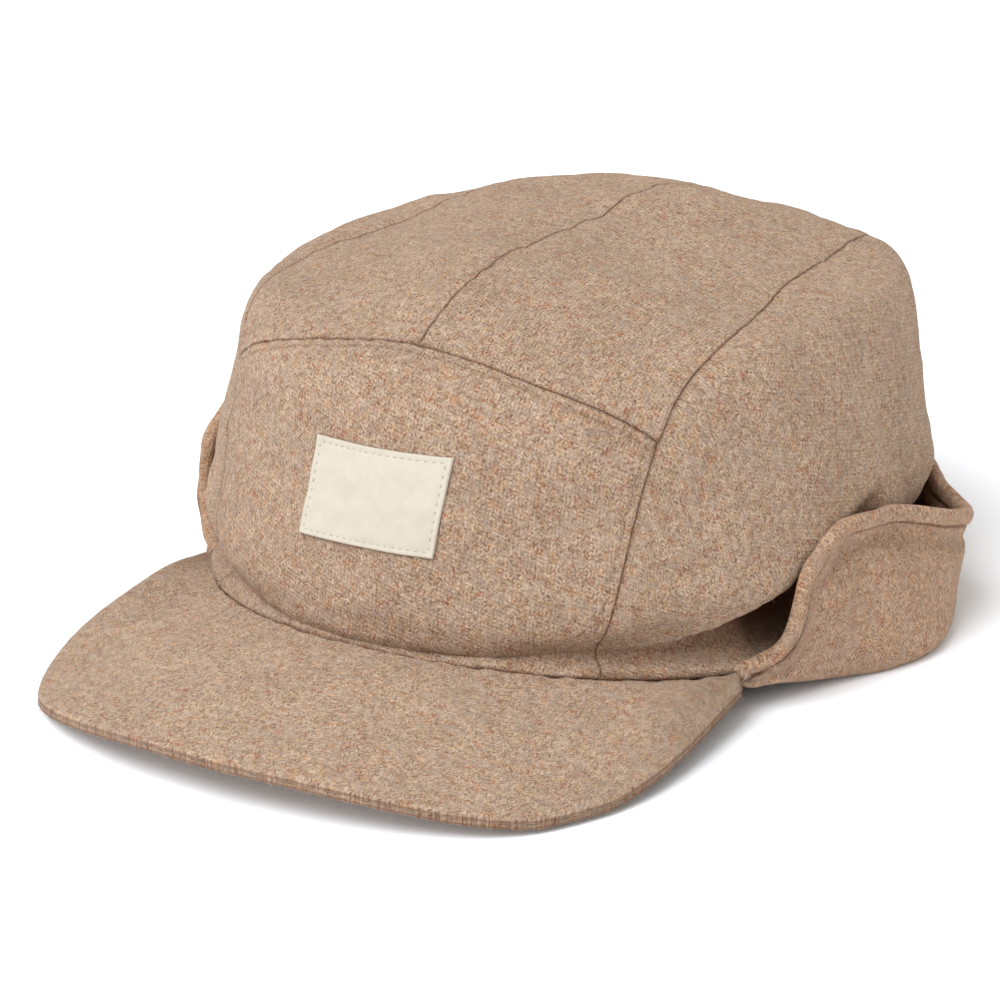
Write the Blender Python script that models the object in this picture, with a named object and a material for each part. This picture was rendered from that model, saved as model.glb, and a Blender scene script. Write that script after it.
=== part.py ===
"""A five-panel cap of thick wool cloth: one front panel, two top panels, two side panels, a peak of two
cloth layers, a long ear flap folded up outside the crown and a small label on the front panel.

Lengths are in metres, angles in degrees and +Z is up. The peak points to -Y and the wearer's left side
is +X. The cap stands by itself on the fold of the flap and on the two corners of the peak.

A place on the crown is given by an angle round it, 0 at the front and 90 over the wearer's left ear,
and by how far out it lies: 0 in the middle of the top and 1 at the hem. Seen flat, these two are polar
coordinates of a unit disk, and the panels are cut out of that disk.
"""

import math
from collections import namedtuple

import bmesh
import bpy
import numpy as np

# Crown: heights are over the surface that the cap stands on
CROWN_HEIGHT = 0.1055
FRONT_REACH = 0.1045
BACK_REACH = 0.093
SIDE_REACH = 0.0925
HEM_FRONT_HEIGHT = 0.021
HEM_SIDE_HEIGHT = 0.0085
HEM_BACK_HEIGHT = 0.008
BACK_SQUARENESS = 0.14
WAIST_SKEW = 0.8
CROWN_CLOTH = 0.0022
SEAM_GAP = 0.0004
HEM_GAP = 0.0005

# Peak
PEAK_DEPTH = 0.0635
PEAK_SIDE_STEP = 0.0035
PEAK_END_ANGLE = 64.0
PEAK_MIDDLE_LIFT = 0.009
PEAK_PRESS = 0.0005
PEAK_CLOTH = 0.002
LAYER_GAP = 0.0003

# Ear flap
FLAP_HEIGHT = 0.047
FLAP_STAND_OFF = 0.018
FLAP_FRONT_LIFT = 0.004
FLAP_LIFT_ENDS_ALONG = 0.28
FLAP_FOLD_WIDTH = 0.0065
FLAP_LIP_FLARE = 0.0015
FLAP_LIP_HEIGHT = 0.008
FLAP_CLOTH = 0.0022

# Label
LABEL_WIDTH = 0.0415
LABEL_HEIGHT = 0.026
LABEL_MIDDLE_HEIGHT = 0.0575
LABEL_TURN = 2.0
LABEL_SIDE_STEP = -0.0012
LABEL_CLOTH = 0.0007

# Facets along the edges of the pieces
TOP_FACETS_ACROSS = 9
HEM_TO_CORNER_FACETS = 10
SIDE_FACETS_ALONG = 24
PEAK_FACETS_ACROSS = 26
PEAK_FACETS_DEEP = 9
FLAP_FACETS_ALONG = 60
LABEL_FACETS_ACROSS = 8
LABEL_FACETS_UP = 4
HEM_CROWDING = 1.4

SHARP_EDGE_ANGLE = 50.0

# Steps used to measure slopes and lengths on the surfaces
SMALL_STEP = 1e-3
SMALL_TURN = 0.1
LABEL_PLACES = 451

# Profiles of the crown. Reaches are shares of the crown's reach on that side, and rises are shares of
# the height from the hem on that side to the top.
CrownRow = namedtuple("CrownRow", "out front_reach front_rise side_reach side_rise back_reach back_rise")
CROWN_ROWS = [
    CrownRow(0.00, 0.000, 0.990, 0.000, 0.990, 0.000, 0.990),
    CrownRow(0.22, 0.380, 1.000, 0.360, 0.970, 0.500, 1.000),
    CrownRow(0.42, 0.680, 0.880, 0.690, 0.895, 0.850, 0.905),
    CrownRow(0.55, 0.825, 0.745, 0.865, 0.860, 0.990, 0.800),
    CrownRow(0.68, 0.890, 0.535, 0.945, 0.680, 1.030, 0.605),
    CrownRow(0.80, 0.955, 0.260, 1.010, 0.415, 1.085, 0.380),
    CrownRow(0.89, 0.990, 0.050, 1.015, 0.270, 1.105, 0.250),
    CrownRow(0.95, 0.970, 0.005, 0.955, 0.160, 1.040, 0.150),
    CrownRow(1.00, 1.000, 0.000, 1.000, 0.000, 1.000, 0.000),
]

# The side seam runs from the hem at the front, over the crown above the ear, to the hem at the back.
SeamRow = namedtuple("SeamRow", "along angle out")
SIDE_SEAM_ROWS = [
    SeamRow(0.00, 39.5, 1.000),
    SeamRow(0.16, 40.5, 0.830),
    SeamRow(0.33, 51.0, 0.595),
    SeamRow(0.45, 63.5, 0.485),
    SeamRow(0.60, 97.5, 0.400),
    SeamRow(0.75, 134.0, 0.450),
    SeamRow(0.87, 147.0, 0.650),
    SeamRow(1.00, 150.0, 1.000),
]
FRONT_CORNER_ALONG = 0.285
BACK_CORNER_ALONG = 0.87
FRONT_SEAM_MIDDLE_OUT = 0.445

# Edge of the peak, from its middle to its end. Across is a share of the peak's half width, hem and depth
# are shares of the crown's front reach and of the peak's depth, middle_lift is a share of the lift of the
# peak's middle, and end_lift is a share of the height of its end at the hem.
PeakRow = namedtuple("PeakRow", "along across hem depth middle_lift end_lift")
PEAK_ROWS = [
    PeakRow(0.00, 0.00, 1.00, 1.00, 1.00, 0.00),
    PeakRow(0.20, 0.32, 1.00, 0.96, 0.93, 0.00),
    PeakRow(0.40, 0.59, 1.00, 0.84, 0.57, 0.00),
    PeakRow(0.58, 0.80, 1.00, 0.645, 0.17, 0.00),
    PeakRow(0.74, 0.93, 1.00, 0.36, 0.00, 0.00),
    PeakRow(0.88, 1.00, 0.95, 0.00, 0.00, 0.45),
    PeakRow(1.00, 0.96, 0.56, 0.00, 0.00, 1.00),
]

# The flap, from its front end to the middle of the back. The free edge lies at its own angle, because the
# flap's front ends lean forward. Fold and edge are shares of the flap's stand-off, and height is a share
# of its height.
FlapRow = namedtuple("FlapRow", "along hem_angle edge_angle fold edge height")
FLAP_ROWS = [
    FlapRow(0.00, 66.5, 65.5, 0.10, 0.33, 0.30),
    FlapRow(0.06, 70.0, 66.5, 0.10, 0.47, 0.49),
    FlapRow(0.12, 75.0, 69.2, 0.14, 0.44, 0.71),
    FlapRow(0.20, 82.0, 73.5, 0.30, 0.34, 0.90),
    FlapRow(0.28, 89.0, 81.0, 0.58, 0.28, 1.00),
    FlapRow(0.36, 96.5, 92.0, 0.83, 0.42, 0.95),
    FlapRow(0.44, 104.0, 103.0, 0.83, 0.85, 0.80),
    FlapRow(0.50, 111.0, 111.0, 0.76, 0.96, 0.70),
    FlapRow(0.60, 123.0, 123.0, 0.63, 0.70, 0.67),
    FlapRow(0.75, 145.0, 145.0, 0.56, 0.68, 0.68),
    FlapRow(1.00, 180.0, 180.0, 0.56, 0.67, 0.68),
]

# Section through the flap, from the hem down to the surface below, round the fold and up to the free edge.
# A point's way out is the sum of its shares of the hem's, the fold's and the free edge's, less its shares
# of the fold's width and of the lip's flare. Its height over the resting part is the sum of its shares of
# the drop from the hem and of the rise to the free edge, less its share of the lip's height. Lean is how
# far it follows the free edge's angle, and resting marks the rows that lie flat.
FlapPoint = namedtuple("FlapPoint", "lean hem fold edge width flare drop rise lip resting")
FLAP_SECTION = [
    FlapPoint(0.00, 1.00, 0.00, 0.00, 0.00, 0.00, 1.00, 0.00, 0.00, False),
    FlapPoint(0.00, 0.70, 0.30, 0.00, 0.30, 0.00, 0.42, 0.00, 0.00, False),
    FlapPoint(0.00, 0.25, 0.75, 0.00, 0.75, 0.00, 0.08, 0.00, 0.00, False),
    FlapPoint(0.02, 0.00, 1.00, 0.00, 0.75, 0.00, 0.00, 0.00, 0.00, True),
    FlapPoint(0.04, 0.00, 1.00, 0.00, 0.38, 0.00, 0.00, 0.00, 0.00, True),
    FlapPoint(0.08, 0.00, 1.00, 0.00, 0.08, 0.00, 0.00, 0.06, 0.00, False),
    FlapPoint(0.20, 0.00, 0.90, 0.10, 0.00, 0.00, 0.00, 0.20, 0.00, False),
    FlapPoint(0.40, 0.00, 0.70, 0.30, 0.00, 0.00, 0.00, 0.40, 0.00, False),
    FlapPoint(0.62, 0.00, 0.40, 0.60, 0.00, 0.00, 0.00, 0.62, 0.00, False),
    FlapPoint(0.80, 0.00, 0.00, 1.00, 0.00, 1.00, 0.00, 1.00, 1.00, False),
    FlapPoint(0.92, 0.00, 0.00, 1.00, 0.00, 0.60, 0.00, 1.00, 0.40, False),
    FlapPoint(1.00, 0.00, 0.00, 1.00, 0.00, 0.00, 0.00, 1.00, 0.00, False),
]

CLOTH_COLOUR = (0.47, 0.33, 0.23, 1.0)
UNDER_CLOTH_COLOUR = (0.40, 0.28, 0.19, 1.0)
LABEL_COLOUR = (0.84, 0.76, 0.63, 1.0)
CLOTH_ROUGHNESS = 0.95
LABEL_ROUGHNESS = 0.8


def clear_scene():
    for old in list(bpy.data.objects):
        bpy.data.objects.remove(old, do_unlink=True)


def smooth_curve(knots, values, at):
    """A natural cubic spline through the knots, read at the given places."""
    knots = np.asarray(knots, float)
    values = np.asarray(values, float)
    count = len(knots)
    width = np.diff(knots)
    rise = np.diff(values) / width
    matrix = np.eye(count)
    bends = np.zeros(count)
    for i in range(1, count - 1):
        matrix[i, i - 1 : i + 2] = (width[i - 1], 2 * (width[i - 1] + width[i]), width[i])
        bends[i] = 6 * (rise[i] - rise[i - 1])
    curvature = np.linalg.solve(matrix, bends)
    at = np.asarray(at, float)
    left = np.clip(np.searchsorted(knots, at, side="right") - 1, 0, count - 2)
    past = at - knots[left]
    slope = rise[left] - width[left] * (2 * curvature[left] + curvature[left + 1]) / 6
    cubic = (curvature[left + 1] - curvature[left]) / (6 * width[left])
    return values[left] + past * (slope + past * (curvature[left] / 2 + past * cubic))


def read_column(rows, column, at):
    """One column of a table, smoothed along the table's first column."""
    return smooth_curve([row[0] for row in rows], [getattr(row, column) for row in rows], at)


def unit(vectors):
    return vectors / np.linalg.norm(vectors, axis=-1, keepdims=True)


def crown_profile(side, reach, hem_height, out):
    """How far the crown reaches and how high it is, along its front, side or back."""
    rise = read_column(CROWN_ROWS, side + "_rise", out)
    return (
        reach * read_column(CROWN_ROWS, side + "_reach", out),
        hem_height + (CROWN_HEIGHT - hem_height) * rise,
    )


def crown_surface(disk):
    """Points of the crown's outer surface for points of the unit disk, which has the front at -Y."""
    out = np.linalg.norm(disk, axis=-1)
    safe_out = np.maximum(out, SMALL_STEP / 1e6)
    sine = disk[..., 0] / safe_out
    cosine = -disk[..., 1] / safe_out
    front_reach, front_height = crown_profile("front", FRONT_REACH, HEM_FRONT_HEIGHT, out)
    side_reach, side_height = crown_profile("side", SIDE_REACH, HEM_SIDE_HEIGHT, out)
    back_reach, back_height = crown_profile("back", BACK_REACH, HEM_BACK_HEIGHT, out)
    in_front = cosine > 0
    reach = np.where(in_front, front_reach, back_reach)
    height = np.where(in_front, front_height, back_height)
    waist = np.sin(np.pi * np.clip(out, 0, 1) ** WAIST_SKEW)
    square = 1 + BACK_SQUARENESS * waist * (1 - cosine) / 2 * (2 * sine * cosine) ** 2
    x = side_reach * sine * square
    y = -reach * cosine * square
    z = height * cosine**2 + side_height * sine**2
    return np.stack([x, y, z], axis=-1)


def crown_normals(disk):
    """Outward unit normals of the crown, from slopes measured a small step to each side."""
    step_x = np.array([SMALL_STEP, 0.0])
    step_y = np.array([0.0, SMALL_STEP])
    along_x = crown_surface(disk + step_x) - crown_surface(disk - step_x)
    along_y = crown_surface(disk + step_y) - crown_surface(disk - step_y)
    return unit(np.cross(along_x, along_y))


def disk_point(angle, out):
    turn = np.radians(angle)
    return np.stack([out * np.sin(turn), -out * np.cos(turn)], axis=-1)


def mirrored(points):
    """The same points on the other side of the cap."""
    return points * np.array([-1.0] + [1.0] * (points.shape[-1] - 1))


def side_seam(along):
    """The wearer's left side seam on the disk."""
    angle = read_column(SIDE_SEAM_ROWS, "angle", along)
    out = read_column(SIDE_SEAM_ROWS, "out", along)
    return disk_point(angle, out)


def front_seam(across):
    """The seam over the front panel on the disk, from -1 at its right end to 1 at its left end."""
    corner_angle = read_column(SIDE_SEAM_ROWS, "angle", FRONT_CORNER_ALONG)
    corner_out = read_column(SIDE_SEAM_ROWS, "out", FRONT_CORNER_ALONG)
    out = FRONT_SEAM_MIDDLE_OUT + (corner_out - FRONT_SEAM_MIDDLE_OUT) * across**2
    return disk_point(across * corner_angle, out)


def fill_patch(bottom, top, left, right):
    """A grid of disk points between four edges that meet at their ends. Bottom and top run the same way,
    and so do left and right."""
    over = np.linspace(0, 1, len(bottom))[None, :, None]
    length = np.linalg.norm(np.diff(right, axis=0), axis=-1)
    up = (np.concatenate([[0], np.cumsum(length)]) / length.sum())[:, None, None]
    between_ends = (1 - up) * bottom[None] + up * top[None]
    between_sides = (1 - over) * left[:, None] + over * right[:, None]
    corners = (1 - up) * ((1 - over) * bottom[0] + over * bottom[-1])
    corners = corners + up * ((1 - over) * top[0] + over * top[-1])
    return between_ends + between_sides - corners


def edge_loop(rows, columns):
    """Row and column of each grid point round the edge, in order."""
    loop = [(0, c) for c in range(columns - 1)]
    loop += [(r, columns - 1) for r in range(rows - 1)]
    loop += [(rows - 1, c) for c in range(columns - 1, 0, -1)]
    loop += [(r, 0) for r in range(rows - 1, 0, -1)]
    return loop


def open_seams(grid):
    """Moves a panel's edges inward by half the seam gap, but for the edge that is the hem."""
    opened = grid.copy()
    loop = edge_loop(*grid.shape[:2])
    points = np.array([grid[place] for place in loop])
    ahead = np.roll(points, -1, axis=0)
    behind = np.roll(points, 1, axis=0)
    area = np.sum(points[:, 0] * ahead[:, 1] - points[:, 1] * ahead[:, 0])
    tangent = unit(ahead - behind)
    inward = np.sign(area) * np.stack([-tangent[:, 1], tangent[:, 0]], axis=-1)
    for place, point, way, before, after in zip(loop, points, inward, behind, ahead):
        hem_piece = min(np.linalg.norm(p) for p in (before, point, after)) > 1 - 1e-6
        if hem_piece:
            continue
        moved = crown_surface(point + way * SMALL_STEP) - crown_surface(point)
        opened[place] = point + way * SMALL_STEP * (SEAM_GAP / 2) / np.linalg.norm(moved)
    return opened


def material(name, colour, roughness):
    made = bpy.data.materials.new(name)
    made.use_nodes = True
    shader = made.node_tree.nodes["Principled BSDF"]
    shader.inputs["Base Color"].default_value = colour
    shader.inputs["Roughness"].default_value = roughness
    shader.inputs["Metallic"].default_value = 0.0
    return made


def add_sheet(name, outer, inner, colour, roughness=CLOTH_ROUGHNESS):
    """A closed piece of cloth between two grids of points, with a rim round its edge."""
    rows, columns = outer.shape[:2]
    mesh = bmesh.new()
    outside = [[mesh.verts.new(outer[r, c]) for c in range(columns)] for r in range(rows)]
    inside = [[mesh.verts.new(inner[r, c]) for c in range(columns)] for r in range(rows)]
    for r in range(rows - 1):
        for c in range(columns - 1):
            for sheet in (outside, inside):
                mesh.faces.new((sheet[r][c], sheet[r][c + 1], sheet[r + 1][c + 1], sheet[r + 1][c]))
    loop = edge_loop(rows, columns)
    for here, there in zip(loop, loop[1:] + loop[:1]):
        corners = [sheet[place[0]][place[1]] for sheet, place in
                   ((outside, here), (outside, there), (inside, there), (inside, here))]
        mesh.faces.new(corners)
    bmesh.ops.recalc_face_normals(mesh, faces=mesh.faces)
    data = bpy.data.meshes.new(name)
    mesh.to_mesh(data)
    mesh.free()
    data.shade_smooth()
    data.set_sharp_from_angle(angle=math.radians(SHARP_EDGE_ANGLE))
    data.materials.append(material(name + "_cloth", colour, roughness))
    piece = bpy.data.objects.new(name, data)
    bpy.context.collection.objects.link(piece)
    return piece


def add_panel(name, grid):
    """A crown panel: its outer side lies on the crown's surface, and its wall is inside that."""
    grid = open_seams(grid)
    outer = crown_surface(grid)
    return add_sheet(name, outer, outer - CROWN_CLOTH * crown_normals(grid), CLOTH_COLOUR)


def rows_from_hem():
    """Shares from the hem to a corner of the front panel, closer together near the hem."""
    return np.linspace(0, 1, HEM_TO_CORNER_FACETS + 1) ** HEM_CROWDING


def hem_edge(start_angle, end_angle, facets):
    return disk_point(np.linspace(start_angle, end_angle, facets + 1), 1.0)


def build_front_panel():
    seam = side_seam(FRONT_CORNER_ALONG * rows_from_hem())
    end_angle = SIDE_SEAM_ROWS[0].angle
    bottom = hem_edge(-end_angle, end_angle, 2 * TOP_FACETS_ACROSS)
    top = front_seam(np.linspace(-1, 1, 2 * TOP_FACETS_ACROSS + 1))
    return add_panel("front_panel", fill_patch(bottom, top, mirrored(seam), seam))


def build_top_panels():
    over = np.linspace(FRONT_CORNER_ALONG, BACK_CORNER_ALONG, SIDE_FACETS_ALONG + 1)
    down = 1 - (1 - BACK_CORNER_ALONG) * rows_from_hem()[::-1]
    seam = side_seam(np.concatenate([over, down[1:]]))
    bottom = front_seam(np.linspace(0, 1, TOP_FACETS_ACROSS + 1))
    top = hem_edge(180, SIDE_SEAM_ROWS[-1].angle, TOP_FACETS_ACROSS)
    length = np.linalg.norm(np.diff(seam, axis=0), axis=-1)
    share = np.concatenate([[0], np.cumsum(length)])[:, None] / length.sum()
    middle = bottom[0] + share * (top[0] - bottom[0])
    grid = fill_patch(bottom, top, middle, seam)
    return [add_panel("top_panel_left", grid), add_panel("top_panel_right", mirrored(grid))]


def build_side_panels():
    front = side_seam(FRONT_CORNER_ALONG * rows_from_hem())
    back = side_seam(1 - (1 - BACK_CORNER_ALONG) * rows_from_hem())
    bottom = hem_edge(SIDE_SEAM_ROWS[0].angle, SIDE_SEAM_ROWS[-1].angle, SIDE_FACETS_ALONG)
    top = side_seam(np.linspace(FRONT_CORNER_ALONG, BACK_CORNER_ALONG, SIDE_FACETS_ALONG + 1))
    grid = fill_patch(bottom, top, front, back)
    return [add_panel("side_panel_left", grid), add_panel("side_panel_right", mirrored(grid))]


def hem_frame(angle):
    """At places round the hem: the hem point, the way the cloth runs there, its outward normal and the
    level direction straight out from the hem."""
    disk = disk_point(angle, 1.0)
    point = crown_surface(disk)
    running = unit(crown_surface(disk * (1 + SMALL_STEP)) - crown_surface(disk * (1 - SMALL_STEP)))
    beside = disk_point(angle + SMALL_TURN, 1.0)
    tangent = crown_surface(beside) - point
    level = unit(np.stack([tangent[..., 1], -tangent[..., 0], np.zeros_like(angle)], axis=-1))
    return point, running, crown_normals(disk), level


def build_peak():
    """Two layers between the hem and the edge of the peak. The corners of the lower one stand level."""
    across = np.linspace(-1, 1, PEAK_FACETS_ACROSS + 1)
    hem, running, _, _ = hem_frame(across * PEAK_END_ANGLE)
    root = hem + running * HEM_GAP
    thickness = 2 * PEAK_CLOTH + LAYER_GAP
    half_width = SIDE_REACH - PEAK_SIDE_STEP
    along = np.abs(across)
    lift = PEAK_MIDDLE_LIFT * read_column(PEAK_ROWS, "middle_lift", along)
    lift = lift + (root[0, 2] - thickness) * read_column(PEAK_ROWS, "end_lift", along)
    edge = np.stack([
        np.sign(across) * half_width * read_column(PEAK_ROWS, "across", along),
        -FRONT_REACH * read_column(PEAK_ROWS, "hem", along)
        - PEAK_DEPTH * read_column(PEAK_ROWS, "depth", along),
        np.maximum(lift - PEAK_PRESS, 0) + thickness,
    ], axis=-1)
    share = np.linspace(0, 1, PEAK_FACETS_DEEP + 1)[:, None, None]
    top = (1 - share) * root + share * edge
    down = np.array([0, 0, 1.0])
    under = top - down * (PEAK_CLOTH + LAYER_GAP)
    return [
        add_sheet("peak_top", top, top - down * PEAK_CLOTH, CLOTH_COLOUR),
        add_sheet("peak_under", under, under - down * PEAK_CLOTH, UNDER_CLOTH_COLOUR),
    ]


def flap_sections(along):
    """Middle of the flap's cloth at places along it: the angle round the hem, the way out from the hem and
    the height of each point of its section."""
    hem_angle = read_column(FLAP_ROWS, "hem_angle", along)
    edge_angle = read_column(FLAP_ROWS, "edge_angle", along)
    fold = FLAP_STAND_OFF * read_column(FLAP_ROWS, "fold", along)
    edge = FLAP_STAND_OFF * read_column(FLAP_ROWS, "edge", along)
    height = FLAP_HEIGHT * read_column(FLAP_ROWS, "height", along)
    lift = FLAP_FRONT_LIFT * np.clip(1 - (along / FLAP_LIFT_ENDS_ALONG) ** 2, 0, 1) ** 2
    floor = lift + FLAP_CLOTH / 2
    hem, running, normal, level = hem_frame(hem_angle)
    start = running * HEM_GAP - normal * FLAP_CLOTH / 2
    start_out = np.sum(start * level, axis=-1)
    drop = hem[:, 2] + start[:, 2] - floor
    rise = height - floor
    lip = np.minimum(FLAP_LIP_HEIGHT, rise / 3)
    sections = []
    for at in FLAP_SECTION:
        angle = hem_angle + at.lean * (edge_angle - hem_angle)
        out = at.hem * start_out + at.fold * fold + at.edge * edge
        out = out - at.width * FLAP_FOLD_WIDTH - at.flare * FLAP_LIP_FLARE
        sections.append((angle, out, floor + at.drop * drop + at.rise * rise - at.lip * lip))
    return hem_angle, sections


def build_ear_flap():
    half = np.linspace(-1, 1, FLAP_FACETS_ALONG + 1)
    hem_angle, sections = flap_sections(1 - np.abs(half))
    side = np.where(half > 0, -1.0, 1.0)
    rows = []
    for angle, out, height in sections:
        point, _, _, level = hem_frame(angle)
        middle = point + level * out[:, None]
        middle[:, 2] = height
        middle[:, 0] *= side
        rows.append(middle)
    grid = np.stack(rows)
    normal = unit(np.cross(np.gradient(grid, axis=0), np.gradient(grid, axis=1)))
    normal[0] = hem_frame(hem_angle)[2]
    normal[0, :, 0] *= side
    normal[[at.resting for at in FLAP_SECTION]] = (0.0, 0.0, 1.0)
    outer = grid + normal * FLAP_CLOTH / 2
    inner = grid - normal * FLAP_CLOTH / 2
    return add_sheet("ear_flap", outer, inner, CLOTH_COLOUR)


def build_label():
    """A sheet that lies on the front panel, level with its wall and turned by a small angle."""
    across = np.linspace(-0.5, 0.5, LABEL_FACETS_ACROSS + 1) * LABEL_WIDTH
    upward = np.linspace(-0.5, 0.5, LABEL_FACETS_UP + 1) * LABEL_HEIGHT
    right, climb = np.meshgrid(across, upward)
    turn = math.radians(LABEL_TURN)
    x = LABEL_SIDE_STEP + right * math.cos(turn) - climb * math.sin(turn)
    climb = right * math.sin(turn) + climb * math.cos(turn)
    out = np.linspace(FRONT_SEAM_MIDDLE_OUT, 1, LABEL_PLACES)
    reach, height = crown_profile("front", FRONT_REACH, HEM_FRONT_HEIGHT, out)
    length = np.concatenate([[0], np.cumsum(np.hypot(np.diff(reach), np.diff(height)))])
    middle = np.interp(-LABEL_MIDDLE_HEIGHT, -height, length)
    label_out = np.interp(middle - climb, length, out)
    side_reach, _ = crown_profile("side", SIDE_REACH, HEM_SIDE_HEIGHT, label_out)
    disk = disk_point(np.degrees(np.arcsin(x / side_reach)), label_out)
    surface = crown_surface(disk)
    normal = crown_normals(disk)
    inner = surface + normal * SEAM_GAP
    return add_sheet("front_label", inner + normal * LABEL_CLOTH, inner, LABEL_COLOUR, LABEL_ROUGHNESS)


def centre_on_origin(pieces):
    """Puts the middle of the cap's length over the origin."""
    ends = [vertex.co.y for piece in pieces for vertex in piece.data.vertices]
    middle = (min(ends) + max(ends)) / 2
    for piece in pieces:
        piece.location.y = -middle


def main():
    clear_scene()
    pieces = [build_front_panel(), *build_top_panels(), *build_side_panels(), *build_peak()]
    pieces += [build_ear_flap(), build_label()]
    centre_on_origin(pieces)


main()
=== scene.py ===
"""Looks of the five-panel wool cap: fine cloth, seams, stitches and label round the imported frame.

Lengths are in metres and angles in degrees. The crown is described as in the part's source: a place on
it is an angle round it, 0 at the front, and a share of the way out from its top to its hem.
"""
import math
from collections import namedtuple

import bpy
import numpy as np
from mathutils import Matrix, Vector


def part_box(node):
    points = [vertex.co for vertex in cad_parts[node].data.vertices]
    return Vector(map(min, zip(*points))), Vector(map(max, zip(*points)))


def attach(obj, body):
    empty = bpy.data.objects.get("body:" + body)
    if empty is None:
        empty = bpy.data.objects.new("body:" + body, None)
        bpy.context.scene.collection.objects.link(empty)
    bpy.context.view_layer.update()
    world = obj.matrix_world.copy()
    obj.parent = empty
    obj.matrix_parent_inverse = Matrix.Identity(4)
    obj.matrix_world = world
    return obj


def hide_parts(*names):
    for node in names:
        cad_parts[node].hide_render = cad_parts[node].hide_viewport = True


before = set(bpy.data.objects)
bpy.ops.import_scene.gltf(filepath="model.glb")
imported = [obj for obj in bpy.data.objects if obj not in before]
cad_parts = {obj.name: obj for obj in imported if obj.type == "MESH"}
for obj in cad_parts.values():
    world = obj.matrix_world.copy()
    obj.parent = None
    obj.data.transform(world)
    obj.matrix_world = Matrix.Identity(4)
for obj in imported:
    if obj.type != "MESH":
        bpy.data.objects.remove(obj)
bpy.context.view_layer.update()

MM = 0.001

# Crown, peak, flap and label as in the part's source, but the peak's and the flap's ends meet nearer the
# front of the hem than they do there
CROWN_HEIGHT = 0.1055
FRONT_REACH = 0.1045
BACK_REACH = 0.093
SIDE_REACH = 0.0925
HEM_FRONT_HEIGHT = 0.021
HEM_SIDE_HEIGHT = 0.0085
HEM_BACK_HEIGHT = 0.008
BACK_SQUARENESS = 0.14
WAIST_SKEW = 0.8
CROWN_CLOTH = 0.0022
THINNEST_CROWN = 0.3 * CROWN_CLOTH
HEM_GAP = 0.0005
PEAK_DEPTH = 0.0635
PEAK_SIDE_STEP = 0.0035
PEAK_END_ANGLE = 61.2
PEAK_MIDDLE_LIFT = 0.009
PEAK_PRESS = 0.0005
PEAK_CLOTH = 0.002
LAYER_GAP = 0.0003
FLAP_HEIGHT = 0.047
FLAP_STAND_OFF = 0.018
FLAP_FRONT_LIFT = 0.0065
FLAP_LIFT_ENDS_ALONG = 0.28
FLAP_FOLD_WIDTH = 0.0065
FLAP_LIP_FLARE = 0.0015
FLAP_LIP_HEIGHT = 0.008
FLAP_CLOTH = 0.0022
LABEL_WIDTH = 0.0415
LABEL_HEIGHT = 0.026
LABEL_MIDDLE_HEIGHT = 0.0575
LABEL_TURN = 2.0
LABEL_SIDE_STEP = -0.0012
LABEL_CLOTH = 0.0007
SEAM_GAP = 0.0004

SMALL_STEP = 1e-3
SMALL_TURN = 0.1

CrownRow = namedtuple("CrownRow", "out front_reach front_rise side_reach side_rise back_reach back_rise")
CROWN_ROWS = [CrownRow(*row) for row in (
    (0, 0, 0.99, 0, 0.99, 0, 0.99),
    (0.22, 0.38, 1, 0.36, 0.97, 0.5, 1),
    (0.42, 0.68, 0.88, 0.69, 0.895, 0.85, 0.905),
    (0.55, 0.825, 0.745, 0.865, 0.86, 0.99, 0.8),
    (0.68, 0.89, 0.535, 0.945, 0.68, 1.03, 0.605),
    (0.8, 0.955, 0.26, 1.01, 0.415, 1.085, 0.38),
    (0.89, 0.99, 0.05, 1.015, 0.27, 1.105, 0.25),
    (0.95, 0.97, 0.005, 0.955, 0.16, 1.04, 0.15),
    (1, 1, 0, 1, 0, 1, 0),
)]

SeamRow = namedtuple("SeamRow", "along angle out")
SIDE_SEAM_ROWS = [SeamRow(*row) for row in (
    (0, 39.5, 1),
    (0.16, 40.5, 0.83),
    (0.33, 51, 0.595),
    (0.45, 63.5, 0.485),
    (0.6, 97.5, 0.4),
    (0.75, 134, 0.45),
    (0.87, 147, 0.65),
    (1, 150, 1),
)]
FRONT_CORNER_ALONG = 0.285
BACK_CORNER_ALONG = 0.87
FRONT_SEAM_MIDDLE_OUT = 0.445

PeakRow = namedtuple("PeakRow", "along across hem depth middle_lift end_lift")
PEAK_ROWS = [PeakRow(*row) for row in (
    (0, 0, 1, 1, 1, 0),
    (0.2, 0.32, 1, 0.96, 0.93, 0),
    (0.4, 0.59, 1, 0.84, 0.57, 0),
    (0.58, 0.8, 1, 0.645, 0.17, 0),
    (0.74, 0.93, 1, 0.36, 0, 0),
    (0.88, 1, 0.95, 0, 0, 0.45),
    (1, 0.965, 0.53, 0, 0, 1),
)]

FlapRow = namedtuple("FlapRow", "along hem_angle edge_angle fold edge height")
FLAP_ROWS = [FlapRow(*row) for row in (
    (0, 61, 60.3, 0.05, 0.11, 0.28),
    (0.05, 66, 64.5, 0.08, 0.22, 0.335),
    (0.09, 69.5, 67.2, 0.1, 0.34, 0.44),
    (0.13, 73, 68.6, 0.14, 0.43, 0.68),
    (0.17, 77.5, 70.8, 0.2, 0.43, 0.845),
    (0.21, 82.5, 73.8, 0.31, 0.38, 0.93),
    (0.28, 89, 80.5, 0.58, 0.28, 1),
    (0.36, 96.5, 92, 0.83, 0.42, 0.95),
    (0.44, 104, 103, 0.83, 0.85, 0.8),
    (0.5, 111, 111, 0.76, 0.96, 0.7),
    (0.6, 123, 123, 0.63, 0.7, 0.67),
    (0.75, 145, 145, 0.56, 0.68, 0.68),
    (1, 180, 180, 0.56, 0.67, 0.68),
)]

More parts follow.
